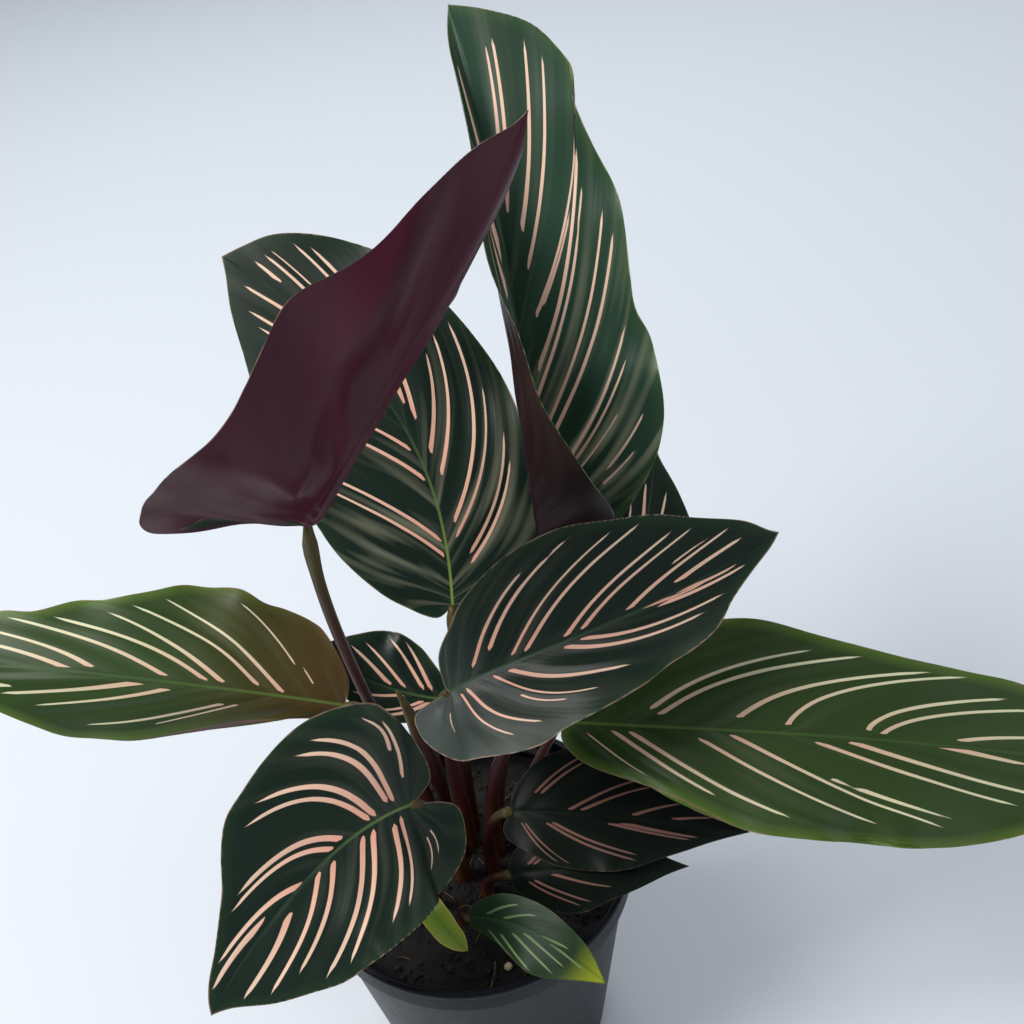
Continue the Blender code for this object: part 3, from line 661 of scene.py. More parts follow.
def stripe_vein(stripe, v, bow):
    """Vein that a stripe follows at each share of the way out, bowed back towards the base."""
    first, last, start, end = stripe
    share = np.clip((v - start) / (end - start), 0.0, 1.0)
    easing = bow * (end - start) * (1.0 - max(first, last) ** 6)
    return first + (last - first) * share - easing * np.sin(np.pi * share)


def stripe_half_width(v, stripe, width, reach):
    """Half width of a stripe in mm, blunt by the midrib, thin outward and below 0 past its ends."""
    _, _, start, end = stripe
    share = (v - start) / (end - start)
    full = 0.5 * width * (1.0 - STRIPE_TAPER * np.clip(share, 0.0, 1.0) ** 1.4)
    inner = (v - start) * reach * BLUNT_START
    outer = (end - v) * reach * POINTED_END
    return np.minimum(full, np.minimum(inner, outer))


def guide_knots(half, v):
    """Veins that the net's rows follow at share v of the way out: long stripes, never crossing."""
    guides = [(0.0, 0.0, 0.0, 1.0), (1.0, 1.0, 0.0, 1.0)]
    for mark in sorted((*half.stripes, *half.wisps), key=lambda mark: mark[2] - mark[3]):
        steps = [(mark[0] - guide[0], mark[1] - guide[1]) for guide in guides]
        if all(min(step) > GUIDE_GAP or max(step) < -GUIDE_GAP for step in steps):
            guides.append(mark)
    knots = np.array([stripe_vein(guide, v, half.bow) for guide in sorted(guides)])
    knots[0], knots[-1] = 0.0, 1.0
    step = ROW_GAP * np.arange(len(knots))[:, None]
    knots = np.maximum.accumulate(knots - step, axis=0) + step
    return np.minimum(knots, 1.0 - step[::-1])


def half_net(half, length, starts, columns, width, seed):
    """Flat net of a half blade whose rows follow its stripes.

    Gives the distances along the midrib and out from it, inside the nearest stripe, across the
    veins and in from the margin, all in mm.
    """
    rng = np.random.default_rng(seed)
    v = np.linspace(0.0, 1.0, columns + 1)[None, :]
    marks = sorted((*half.stripes, *half.wisps))
    knots = guide_knots(half, v[0])
    veins = vein_from_start(half, starts)
    rows = np.array([np.interp(veins, knots[:, 0], knots[:, j]) for j in range(columns + 1)]).T
    along, out = flat_net(half, length, rows, np.broadcast_to(v, rows.shape))
    line = outline(half, length)[0]
    rim = np.min(np.hypot(along[..., None] - line[:, 0], out[..., None] - line[:, 1]), axis=-1)
    vein_run = np.gradient(along, axis=1), np.gradient(out, axis=1)
    row_run = np.gradient(along, axis=0), np.gradient(out, axis=0)
    cross = np.abs(vein_run[0] * row_run[1] - vein_run[1] * row_run[0])
    step = cross / np.maximum(np.hypot(*vein_run), 1e-6)
    across = np.cumsum(step, axis=0)
    reach = np.sum(np.hypot(*vein_run), axis=1).mean()
    stripe = np.full(rows.shape, NO_STRIPE)
    for entry in marks:
        line = stripe_vein(entry, v[0], half.bow)
        thick = width * rng.uniform(*STRIPE_UNEVENNESS) * np.clip(2.0 * entry[0], 0.5, 1.0)
        if entry in half.wisps:
            thick *= WISP_SHARE
        for j in range(columns + 1):
            here = np.interp(line[j], rows[:, j], across[:, j])
            tent = stripe_half_width(v[0, j], entry, thick, reach) - np.abs(across[:, j] - here)
            stripe[:, j] = np.maximum(stripe[:, j], tent)
    return along, out, stripe, across, rim


def row_starts(leaf, fineness):
    """Shares of the midrib where the net's rows start.

    Rows pass through each mark at four places, and more of them fill the gaps between.
    """
    names = []
    for half in (leaf.left, leaf.right):
        for mark in (*half.stripes, *half.wisps):
            v = np.linspace(mark[2], mark[3], 4)
            knots = guide_knots(half, np.array([0.0, *v]))
            for vein, column in zip(stripe_vein(mark, v, half.bow), knots.T[1:]):
                names.append(np.interp(vein, column, knots[:, 0]))
    spread = leaf.right.spread
    veins = np.unique(np.round(names, 3))
    filled = [0.0]
    # steps are even along the margin near the base, and along the midrib near the tip
    for vein in [*veins, 1.0]:
        start = 1.0 - math.sqrt(1.0 - vein**spread)
        by_vein = (vein - vein_from_start(leaf.right, filled[-1])) / fineness
        by_start = (start - filled[-1]) / fineness
        steps = np.linspace(0.0, 1.0, max(1, math.ceil(max(by_vein, by_start))) + 1)[1:]
        if by_vein < by_start:
            filled += list(filled[-1] + (start - filled[-1]) * steps)
        else:
            low = vein_from_start(leaf.right, filled[-1])
            between = np.minimum(low + (vein - low) * steps, 1.0)
            filled += list(1.0 - np.sqrt(1.0 - between**spread))
    starts = np.array(filled)
    # where the guides spread a gap on either half, rows are added
    for half in (leaf.left, leaf.right):
        knots = guide_knots(half, np.linspace(0.0, 1.0, 7))
        veins = vein_from_start(half, starts)
        steps = [np.diff(np.interp(veins, knots[:, 0], column)) for column in knots.T]
        counts = np.ceil(np.max(steps, axis=0) / (WIDEST_GAP * fineness)).astype(int)
        finer = [starts[:1]]
        for low, high, count in zip(starts, starts[1:], counts):
            finer.append(np.linspace(low, high, max(count, 1) + 1)[1:])
        starts = np.concatenate(finer)
    return starts


def mesh_of(name, bm, smooth=True):
    """Mesh with the faces of a bmesh, which is freed."""
    mesh = bpy.data.meshes.new(name)
    bm.to_mesh(mesh)
    bm.free()
    if smooth:
        mesh.shade_smooth()
    return mesh


def new_piece(name, mesh, materials):
    """Visible piece of the plant, which stands on the root body."""
    piece = bpy.data.objects.new(name, mesh)
    for material in materials:
        piece.data.materials.append(material)
    bpy.context.scene.collection.objects.link(piece)
    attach(piece, "root")
    return piece


def blade_mesh(name, leaf, settings, seed):
    """Closed blade with an upper and a lower skin, and its markings as attributes in mm."""
    spine = Spine(leaf.spine)
    length = spine.length
    columns, fineness = LONG_NET if length > LONG_BLADE else SHORT_NET
    starts = row_starts(leaf, fineness)
    halves = []
    for half, hand in ((leaf.left, -1), (leaf.right, 1)):
        net = half_net(half, length, starts, columns, leaf.stripe_width, seed + 1 + hand)
        halves.append((in_space(leaf, spine, half, hand, net[0], net[1]), *net))
    rows = len(starts)
    wide = 2 * columns + 1
    joined = [np.concatenate([left[:, :0:-1], right], axis=1) for left, right in zip(*halves)]
    place, along, out, stripe, _, rim = joined
    v = np.abs(np.linspace(-1.0, 1.0, wide))[None, :] * np.ones((rows, 1))
    normal = np.cross(np.gradient(place, axis=1), np.gradient(place, axis=0))
    normal[0], normal[-1] = normal[1], normal[-2]
    normal /= np.maximum(np.linalg.norm(normal, axis=-1, keepdims=True), 1e-9)
    lane = np.mean([side[4].mean(axis=1) for side in halves], axis=0)[:, None] * np.ones((1, wide))
    share = np.clip(along / length, 0.0, 1.0)
    zone = np.clip((along / length - leaf.zone[0]) / (leaf.zone[1] - leaf.zone[0]), 0.0, 1.0)
    # the painted silvery sheen is full over the base quarter and fades to a tenth by 0.6 of the length
    painted_sheen_amount = leaf.painted_sheen_amount * np.clip((0.6 - share) / 0.35, 0.1, 1.0)
    size = min(1.0, length / FULL_RELIEF_LENGTH)
    swell = np.sin(np.pi * v) ** 0.7 * np.cos(2 * np.pi * lane / SWELL_PITCH)
    relief = settings.quilting / MM * swell * size
    groove = -GROOVE_DEPTH * np.exp(-(out / GROOVE_WIDTH) ** 2) * (1 - share) ** 0.5
    thick = settings.thickness / MM * (1.0 - MARGIN_THINNING * v**6)
    ridge = settings.midrib / MM * np.exp(-(out / MIDRIB_WIDTH) ** 2) * (1 - share) ** 0.8 * size
    upper = place + normal * (thick * 0.5 + relief + groove)[..., None]
    lower = place - normal * (thick * 0.5 - relief + ridge)[..., None]
    verts = np.concatenate([upper.reshape(-1, 3), lower.reshape(-1, 3)]) * MM
    count = rows * wide
    low = (np.arange(rows - 1)[:, None] * wide + np.arange(wide - 1)[None, :]).ravel()
    # triangles with the same short diagonal in both skins, so that the thin skins never cross
    corners = [low, low + 1, low + wide + 1, low + wide]
    first = np.where(low % wide < columns, corners[2], corners[3])
    last = np.where(low % wide < columns, corners[0], corners[1])
    top = np.concatenate([np.stack([corners[0], corners[1], first], axis=1),
                          np.stack([last, corners[2], corners[3]], axis=1)])
    under = top[:, ::-1] + count
    right = np.arange(rows - 1) * wide + wide - 1
    left = np.arange(rows - 1) * wide
    sides = np.concatenate([
        np.stack([right + count, right + wide + count, right + wide, right], axis=1),
        np.stack([left + wide + count, left + count, left, left + wide], axis=1)])
    faces = [*top.tolist(), *under.tolist(), *sides.tolist()]
    mesh = bpy.data.meshes.new(name)
    mesh.from_pydata(verts.tolist(), [], faces)
    slots = np.zeros(len(faces), int)
    slots[len(top):2 * len(top)] = 1
    mesh.polygons.foreach_set("material_index", slots)
    for label, values in (("stripe", stripe), ("lane", lane), ("rib", out), ("rim", rim),
                          ("reach", v), ("share", share), ("zone", zone), ("painted_sheen_amount", painted_sheen_amount),
                          ("glow", np.full(v.shape, leaf.rib_glow))):
        layer = mesh.attributes.new(label, "FLOAT", "POINT")
        layer.data.foreach_set("value", np.tile(values.ravel(), 2).astype(np.float32))
    bm = bmesh.new()
    bm.from_mesh(mesh)
    bmesh.ops.remove_doubles(bm, verts=bm.verts, dist=WELD)
    bmesh.ops.dissolve_degenerate(bm, edges=bm.edges, dist=SLIVER)
    bm.to_mesh(mesh)
    bm.free()
    mesh.shade_smooth()
    mesh.set_sharp_from_angle(angle=math.radians(SHARP_FOLD))
    return mesh


def tube_mesh(name, points, radii, sides, seam=0.0):
    """Closed tube in metres along points in mm, with its share of the length as an attribute."""
    points = np.array(points, float)
    runs = np.gradient(points, axis=0)
    runs /= np.linalg.norm(runs, axis=1, keepdims=True)
    # any direction will do that no tube starts along
    side = np.cross(runs[0], (0.3, 1.0, 0.2))
    verts = []
    for point, run, radius in zip(points, runs, radii):
        side = side - run * side.dot(run)
        side /= np.linalg.norm(side)
        over = np.cross(run, side)
        for i in range(sides):
            angle = 2 * math.pi * i / sides
            grown = radius * (1.0 + seam * (1.0 - i / sides))
            verts.append(point + grown * (math.cos(angle) * side + math.sin(angle) * over))
    faces = []
    for ring in range(len(points) - 1):
        for i in range(sides):
            a, b = ring * sides + i, ring * sides + (i + 1) % sides
            faces.append((a, b, b + sides, a + sides))
    faces.append(tuple(range(sides))[::-1])
    faces.append(tuple(range((len(points) - 1) * sides, len(points) * sides)))
    mesh = bpy.data.meshes.new(name)
    mesh.from_pydata((np.array(verts) * MM).tolist(), [], faces)
    layer = mesh.attributes.new("climb", "FLOAT", "POINT")
    shares = np.repeat(np.linspace(0.0, 1.0, len(points)), sides)
    layer.data.foreach_set("value", shares.astype(np.float32))
    mesh.shade_smooth()
    return mesh


# Materials

# Patterns on a leaf follow its veins: a mm on the way out counts as this share of one across
DRAWN_OUT = 0.12


def add_node(tree, kind, inputs=None, **settings):
    """Add a node with its settings, and set or link its inputs."""
    new = tree.nodes.new(kind)
    for key, value in settings.items():
        setattr(new, key, value)
    for key, value in (inputs or {}).items():
        if isinstance(value, bpy.types.NodeSocket):
            tree.links.new(value, new.inputs[key])
        else:
            new.inputs[key].default_value = value
    return new


def empty_material(name):
    """Material without nodes."""
    material = bpy.data.materials.new(name)
    material.use_nodes = True
    material.node_tree.nodes.clear()
    return material, material.node_tree


def surface(tree, inputs, relief=None):
    """Principled shader with its inputs; relief is a height, its distance in m and a strength."""
    if relief:
        height, distance, strength = relief
        bump = add_node(tree, "ShaderNodeBump", {
            "Height": height, "Distance": distance, "Strength": strength})
        inputs["Normal"] = bump.outputs[0]
    shader = add_node(tree, "ShaderNodeBsdfPrincipled", inputs)
    add_node(tree, "ShaderNodeOutputMaterial", {"Surface": shader.outputs[0]})


def leaf_marks(tree, labels):
    """A blade's attributes, and a place in mm that follows its veins."""
    marks = {label: add_node(tree, "ShaderNodeAttribute", attribute_name=label).outputs["Fac"]
             for label in labels}
    drawn = add_node(tree, "ShaderNodeMath", {0: marks["rib"], 1: DRAWN_OUT},
                     operation="MULTIPLY").outputs[0]
    place = add_node(tree, "ShaderNodeCombineXYZ", {0: marks["lane"], 1: drawn}).outputs[0]
    return marks, place


def leaf_upper(name, colours):
    """Waxy calathea cuticle: satin green with painted stripes, a painted silvery sheen, a margin band
    partly painted as a glow of light, and soft, broad highlights.
    """
    material, tree = empty_material(name)
    marks, place = leaf_marks(tree, (
        "stripe", "lane", "rib", "rim", "reach", "share", "zone", "painted_sheen_amount", "glow"))
    # streaks along the veins: blotches 9 mm across, patches of dust and painted sheen 3 mm across, and a
    # waver of 1 mm at stripe edges
    for label, scale in (("blotch", 0.11), ("dust_and_sheen", 0.3), ("waver", 1.6)):
        marks[label] = add_node(tree, "ShaderNodeTexNoise", {
            "Vector": place, "Scale": scale, "Detail": 1.0}).outputs["Fac"]
    # where each mark starts and ends in mm or as a share, and how strong it is there
    for label, source, low, high, at_low, at_high in (
            ("fresh_and_glow_band", "rim", 0.0, 3.5, 0.55, 0.0), ("painted_sheen", "dust_and_sheen", 0.48, 0.7, 0.0, 0.5),
            ("midrib", "rib", 0.2, 0.55, 1.0, 0.0), ("fade", "share", 0.0, 0.9, 0.9, 0.2),
            ("near_base", "share", 0.05, 0.45, 0.8, 0.0), ("lip", "rim", 0.15, 0.5, 0.8, 0.0),
            ("edge", "waver", 0.0, 1.0, -0.12, 0.12), ("rough", "blotch", 0.0, 1.0, 0.32, 0.5)):
        marks[label] = add_node(tree, "ShaderNodeMapRange", {
            0: marks[source], 1: low, 2: high, 3: at_low, 4: at_high}).outputs[0]
    for label, one, two, operation in (
            ("painted_sheen", "painted_sheen", "painted_sheen_amount", "MULTIPLY"), ("midrib", "midrib", "fade", "MULTIPLY"),
            ("bright_rib", "midrib", "near_base", "MULTIPLY"),
            ("bright_rib", "bright_rib", "glow", "MULTIPLY"), ("paint", "stripe", "edge", "ADD")):
        marks[label] = add_node(tree, "ShaderNodeMath", {0: marks[one], 1: marks[two]},
                                operation=operation).outputs[0]
    marks["paint"] = add_node(tree, "ShaderNodeMapRange", {0: marks["paint"], 1: -0.1, 2: 0.12},
                              interpolation_type="SMOOTHSTEP").outputs[0]
    tint = add_node(tree, "ShaderNodeMix", {
        0: marks["reach"], 6: colours["near"], 7: colours["far"]}, data_type="RGBA").outputs[2]
    ground = colours["ground"]
    # painted light among these marks: the band by the margin is partly a painted glow of light through
    # the thin edge, the second zone is a painted grey sheen on the front leaf (a real bronze or
    # yellow-green elsewhere), and the pale haze is a painted silvery sheen
    for label, colour in (("blotch", colours["pale"]), ("fresh_and_glow_band", colours["band"]),
                          ("zone", colours["zone"]), ("painted_sheen", linear("#a8a88c")),
                          ("midrib", colours["rib"]), ("bright_rib", linear("#93ac4c")),
                          ("paint", tint), ("lip", colours["lip"])):
        ground = add_node(tree, "ShaderNodeMix", {0: marks[label], 6: ground, 7: colour},
                          data_type="RGBA").outputs[2]
    # side veins 1.2 mm apart, so faint that they only break up the highlights
    veins = add_node(tree, "ShaderNodeTexWave", {"Vector": place, "Scale": 0.26, "Distortion": 0.5},
                     wave_type="BANDS", bands_direction="X").outputs["Fac"]
    surface(tree, {"Base Color": ground, "Roughness": marks["rough"], "IOR": 1.45,
                   "Specular IOR Level": colours["gloss"]}, (veins, 0.00004, 0.25))
    return material


def leaf_under(name, maroon, soft):
    """Velvety lower leaf skin: even maroon with a satin sheen and the side veins faintly raised."""
    material, tree = empty_material(name)
    marks, place = leaf_marks(tree, ("lane", "rib", "rim"))
    # blotches 7 mm across, and side veins 1.6 mm apart
    blotch = add_node(tree, "ShaderNodeTexNoise", {
        "Vector": place, "Scale": 0.14, "Detail": 3.0}).outputs["Fac"]
    veins = add_node(tree, "ShaderNodeTexWave", {
        "Vector": place, "Scale": 0.2, "Distortion": 1.5, "Detail": 1.0},
        wave_type="BANDS", bands_direction="X").outputs["Fac"]
    lip = add_node(tree, "ShaderNodeMapRange", {
        0: marks["rim"], 1: 0.1, 2: 0.35, 3: 0.5, 4: 0.0}).outputs[0]
    ground = maroon
    for mark, colour in ((blotch, soft), (lip, linear("#7d5a50"))):
        ground = add_node(tree, "ShaderNodeMix", {0: mark, 6: ground, 7: colour},
                          data_type="RGBA").outputs[2]
    surface(tree, {"Base Color": ground, "Roughness": 0.4, "Specular IOR Level": 0.22},
            (veins, 0.00004, 0.3))
    return material


def stalk_skin(settings):
    """Leaf stalk: satin maroon skin, olive below the blade and brown at the dry sheath."""
    material, tree = empty_material("calathea_stalk_skin")
    climb = add_node(tree, "ShaderNodeAttribute", attribute_name="climb").outputs["Fac"]
    coords = add_node(tree, "ShaderNodeTexCoord").outputs["Object"]
    # fibres 1 mm across, drawn out along the stalk
    streak = add_node(tree, "ShaderNodeMapping", {
        "Vector": coords, "Scale": (1.0, 1.0, 0.08)}).outputs[0]
    grain = add_node(tree, "ShaderNodeTexNoise", {
        "Vector": streak, "Scale": 900.0, "Detail": 3.0}).outputs["Fac"]
    low, high = [add_node(tree, "ShaderNodeMapRange", {0: climb, 1: start, 2: full},
                          interpolation_type="SMOOTHSTEP").outputs[0]
                 for start, full in ((0.05, 0.35), (0.6, 1.0))]
    ground = settings.sheath
    for mark, colour in (
            (low, settings.maroon), (high, settings.olive), (grain, linear("#2a1618"))):
        ground = add_node(tree, "ShaderNodeMix", {0: mark, 6: ground, 7: colour},
                          data_type="RGBA").outputs[2]
    surface(tree, {"Base Color": ground, "Roughness": 0.4, "Specular IOR Level": 0.25},
            (grain, 0.0001, 0.6))
    return material


def moulded_polypropylene(settings):
    """Injection-moulded charcoal polypropylene: semi-gloss, with a faint flow ripple and dust."""
    material, tree = empty_material("moulded_polypropylene")
    coords = add_node(tree, "ShaderNodeTexCoord").outputs["Object"]
    # dust in specks of 4 mm and finer, and a flow ripple 14 mm across
    dust_and_sheen = add_node(tree, "ShaderNodeTexNoise", {
        "Vector": coords, "Scale": 260.0, "Detail": 6.0, "Roughness": 0.7}).outputs["Fac"]
    ripple = add_node(tree, "ShaderNodeTexNoise", {
        "Vector": coords, "Scale": 70.0, "Detail": 2.0}).outputs["Fac"]
    speck = add_node(tree, "ShaderNodeMapRange", {
        0: dust_and_sheen, 1: 0.62, 2: 0.8, 3: 0.0, 4: 0.5}).outputs[0]
    ground = add_node(tree, "ShaderNodeMix", {
        0: speck, 6: settings.charcoal, 7: linear("#23262e")}, data_type="RGBA").outputs[2]
    rough = add_node(tree, "ShaderNodeMapRange", {0: dust_and_sheen, 3: 0.3, 4: 0.5}).outputs[0]
    surface(tree, {"Base Color": ground, "Roughness": rough, "IOR": 1.49,
                   "Specular IOR Level": 0.12}, (ripple, 0.0003, 0.25))
    return material


def moist_peat(name, dark, brown):
    """Moist peat or dry fibre: matt, with a second colour in its finest grains."""
    material, tree = empty_material(name)
    coords = add_node(tree, "ShaderNodeTexCoord").outputs["Object"]
    # grains of 2.4 mm and finer
    grain = add_node(tree, "ShaderNodeTexNoise", {
        "Vector": coords, "Scale": 420.0, "Detail": 5.0, "Roughness": 0.7}).outputs["Fac"]
    share = add_node(tree, "ShaderNodeMapRange", {0: grain, 1: 0.48, 2: 0.72}).outputs[0]
    ground = add_node(tree, "ShaderNodeMix", {0: share, 6: dark, 7: brown},
                      data_type="RGBA").outputs[2]
    surface(tree, {"Base Color": ground, "Roughness": 0.9}, (grain, 0.0006, 0.9))
    return material


def dry_granule():
    """Coated feed granule: smooth cream shell with slight pits."""
    material, tree = empty_material("coated_feed_granule")
    coords = add_node(tree, "ShaderNodeTexCoord").outputs["Object"]
    # pits of 0.7 mm
    pits = add_node(tree, "ShaderNodeTexNoise", {
        "Vector": coords, "Scale": 1500.0, "Detail": 3.0}).outputs["Fac"]
    ground = add_node(tree, "ShaderNodeMix", {
        0: pits, 6: linear("#c9b98a"), 7: linear("#e8dfba")}, data_type="RGBA").outputs[2]
    surface(tree, {"Base Color": ground, "Roughness": 0.45})
    return material


def matt_board(settings):
    """Matt painted board: plain and pale, with a trace of roller texture."""
    material, tree = empty_material("matt_painted_board")
    coords = add_node(tree, "ShaderNodeTexCoord").outputs["Object"]
    # roller texture of 3 mm
    roller = add_node(tree, "ShaderNodeTexNoise", {
        "Vector": coords, "Scale": 300.0, "Detail": 2.0}).outputs["Fac"]
    surface(tree, {"Base Color": settings.floor, "Roughness": 0.8}, (roller, 0.0002, 0.1))
    return material


# Pieces


def smooth_path(leaf, count):
    """Points of a stalk from its foot in the soil to the blade, as in the solids."""
    base, forward = Spine(leaf.spine).at(np.array(0.0))
    ground = np.array((*leaf.foot, SOIL_TOP + SOIL_MOUND + 1.0))
    reach = np.linalg.norm(base - ground)
    if leaf.stalk_handles:
        low, high = leaf.stalk_handles
    else:
        low = ground + (0, 0, HANDLE_SHARES[0] * reach)
        high = base - forward * HANDLE_SHARES[1] * reach
    return bezier((ground, low, high, base), np.linspace(0.0, 1.0, count))[0]


class CALATHEA_OT_blades(bpy.types.Operator):
    """Build the leaf stalks"""

    bl_idname = "calathea.blades"
    bl_label = "Blades"

    def execute(self, context):
        look = context.scene.calathea.blade
        # ground, pale blotches, fresher band by the margin that is partly a painted glow of light
        # through the thin edge, second zone (a painted grey sheen on the dark kind), midrib, lip of the
        # margin, stripes near and far from the midrib, gloss
        cuticles = {
            "dark": ("striped_dark_leaf", look.deep_green, "#16291e", "#203c20", "#3c4541", "#2c4a33",
                     "#9c7f6d", look.pink, look.cream, 0.3),
            # painted light: a lighter, lit copy of the dark cuticle with paler stripes, for the leaf
            # that stands in the light
            "painted_lit": ("lit_striped_green_leaf", linear("#1a3323"), "#2f4d3b", "#3d5c30", "#4c5751",
                       "#3c5a3c", "#8d8a5c", linear("#edb6a2"), linear("#f4d3b9"), 0.3),
            # painted shade: a darker copy of the dark cuticle with dimmed stripes, for the leaves that
            # lie in shade
            "painted_shade": ("shaded_dark_leaf", linear("#0b100e"), "#10170f", "#141f18", "#141f18", "#141c15",
                     "#43352f", linear("#7f584d"), linear("#745a50"), 0.1),
            "mid": ("striped_mid_leaf", look.mid_green, "#3a5022", "#66832f", "#4b3a1a", "#40602f",
                    "#8c6b50", linear("#dcaa92"), linear("#dde0b8"), 0.3),
            "fresh": ("fresh_front_leaf", look.fresh_green, "#1a3019", "#27401f", "#a3ae2c", "#27401f",
                      "#34452a", linear("#4d6640"), linear("#7a8f62"), 0.15),
            "young": ("young_leaf", look.young_green, "#5f8426", "#b3b548", "#b3b548", "#5f8426",
                      "#c2b85a", look.young_green, look.young_green, 0.3),
        }
        green = {}
        for kind, (label, ground, pale, band, zone, rib, lip, near, far, gloss) in cuticles.items():
            green[kind] = leaf_upper(label, {
                "ground": ground, "pale": linear(pale), "band": linear(band), "zone": linear(zone),
                "rib": linear(rib), "lip": linear(lip), "near": near, "far": far, "gloss": gloss})
        under = {
            "dark": leaf_under("maroon_leaf_underside", look.maroon, linear("#55192e")),
            "painted_lit": leaf_under("maroon_fold_underside", linear("#14060b"), linear("#220b13")),
            "painted_shade": leaf_under("shaded_leaf_underside", look.maroon, linear("#2e1119")),
            "mid": leaf_under("grey_maroon_leaf_underside", linear("#6a4a50"), linear("#7d6068")),
            "fresh": leaf_under("fresh_leaf_underside", look.maroon, linear("#5e3138")),
            "young": leaf_under("young_leaf_underside", linear("#6f4a45"), linear("#8f7a50")),
        }
        for seed, (name, leaf) in enumerate(LEAVES.items()):
            mesh = blade_mesh(name + "_blade_fine", leaf, look, 10 * seed)
            piece = new_piece(name + "_blade_fine", mesh, (green[leaf.kind], under[leaf.kind]))
            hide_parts(name + "_blade")
        return {"FINISHED"}


class CALATHEA_OT_stalks(bpy.types.Operator):
    """Build the leaf stalks and the leaf that is still rolled up"""

    bl_idname = "calathea.stalks"
    bl_label = "Stalks"

    def execute(self, context):
        skin = stalk_skin(context.scene.calathea.stalk)
        share = np.linspace(0.0, 1.0, STALK_POINTS)
        sheath = SHEATH_SWELL * np.clip(1 - share / SHEATH_END, 0, None) ** 0.7
        joint = JOINT_SWELL * np.exp(-((share - JOINT_PLACE) / JOINT_WIDTH) ** 2)
        slim = 1 - NECK_SLIMMING * np.clip((share - NECK_START) / (1 - NECK_START), 0, 1)
        for name, leaf in LEAVES.items():
            radii = leaf.stalk_radius * (1 + sheath + joint) * slim
            buried = (*leaf.foot, SOIL_TOP - STALK_DEPTH)
            points = np.vstack([[buried], smooth_path(leaf, STALK_POINTS)])
            mesh = tube_mesh(name + "_stalk_fine", points, [radii[0], *radii], STALK_SIDES,
                             seam=STALK_SEAM)
            piece = new_piece(name + "_stalk_fine", mesh, (skin,))
            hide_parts(name + "_stalk")
        return {"FINISHED"}


class CALATHEA_OT_rolled_leaf(bpy.types.Operator):
    """Build the young leaf that is still a closed roll"""

    bl_idname = "calathea.rolled_leaf"
    bl_label = "Rolled leaf"

    def execute(self, context):
        skin = stalk_skin(context.scene.calathea.stalk)
        share = np.linspace(0.0, 1.0, ROLL_POINTS)
        radii = np.interp(share, np.linspace(0, 1, len(ROLLED_LEAF_RADII)), ROLLED_LEAF_RADII)
        buried = (*ROLLED_LEAF_PATH[0][:2], SOIL_TOP - STALK_DEPTH)
        points = np.vstack([[buried], bezier(ROLLED_LEAF_PATH, share)[0]])
        mesh = tube_mesh("rolled_leaf_fine", points, [radii[0], *radii], ROLL_SIDES,
                         seam=ROLL_SEAM)
        piece = new_piece("rolled_leaf_fine", mesh, (skin,))
        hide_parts("rolled_leaf")
        return {"FINISHED"}


def rounded(corners, radius, steps=4):
    """Section through the corners in mm, each inner corner softened by a small curve."""
    corners = [np.array(corner, float) for corner in corners]
    line = [corners[0]]
    for before, here, after in zip(corners, corners[1:], corners[2:]):
        runs = [np.linalg.norm(before - here), np.linalg.norm(after - here)]
        cut = min(radius, 0.45 * runs[0], 0.45 * runs[1])
        start = here + (before - here) * cut / runs[0]
        end = here + (after - here) * cut / runs[1]
        for t in np.linspace(0.0, 1.0, steps):
            line.append((1 - t) ** 2 * start + 2 * t * (1 - t) * here + t * t * end)
    line.append(corners[-1])
    return line


def circle(out, spokes):
    """Points in mm at even angles on a circle around the pot's axis."""
    angles = [2 * math.pi * spoke / spokes for spoke in range(spokes)]
    return [(out * math.cos(angle), out * math.sin(angle)) for angle in angles]


def skin_rings(bm, centre, rings):
    """Faces from a centre vertex to the first ring and on from ring to ring."""
    spokes = len(rings[0])
    for i in range(spokes):
        j = (i + 1) % spokes
        bm.faces.new((centre, rings[0][i], rings[0][j]))
        for low, high in zip(rings, rings[1:]):
            bm.faces.new((low[i], high[i], high[j], low[j]))


def turned(bm, section, spokes):
    """Turn a closed section that starts and ends on the axis."""
    first = bm.verts.new((0.0, 0.0, section[0][1]))
    last = bm.verts.new((0.0, 0.0, section[-1][1]))
    rings = []
    for out, height in section[1:-1]:
        rings.append([bm.verts.new((x, y, height)) for x, y in circle(out, spokes)])
    skin_rings(bm, first, rings)
    for i in range(spokes):
        bm.faces.new((last, rings[-1][(i + 1) % spokes], rings[-1][i]))
    bmesh.ops.scale(bm, vec=(MM,) * 3, verts=bm.verts)
    bmesh.ops.recalc_face_normals(bm, faces=bm.faces)


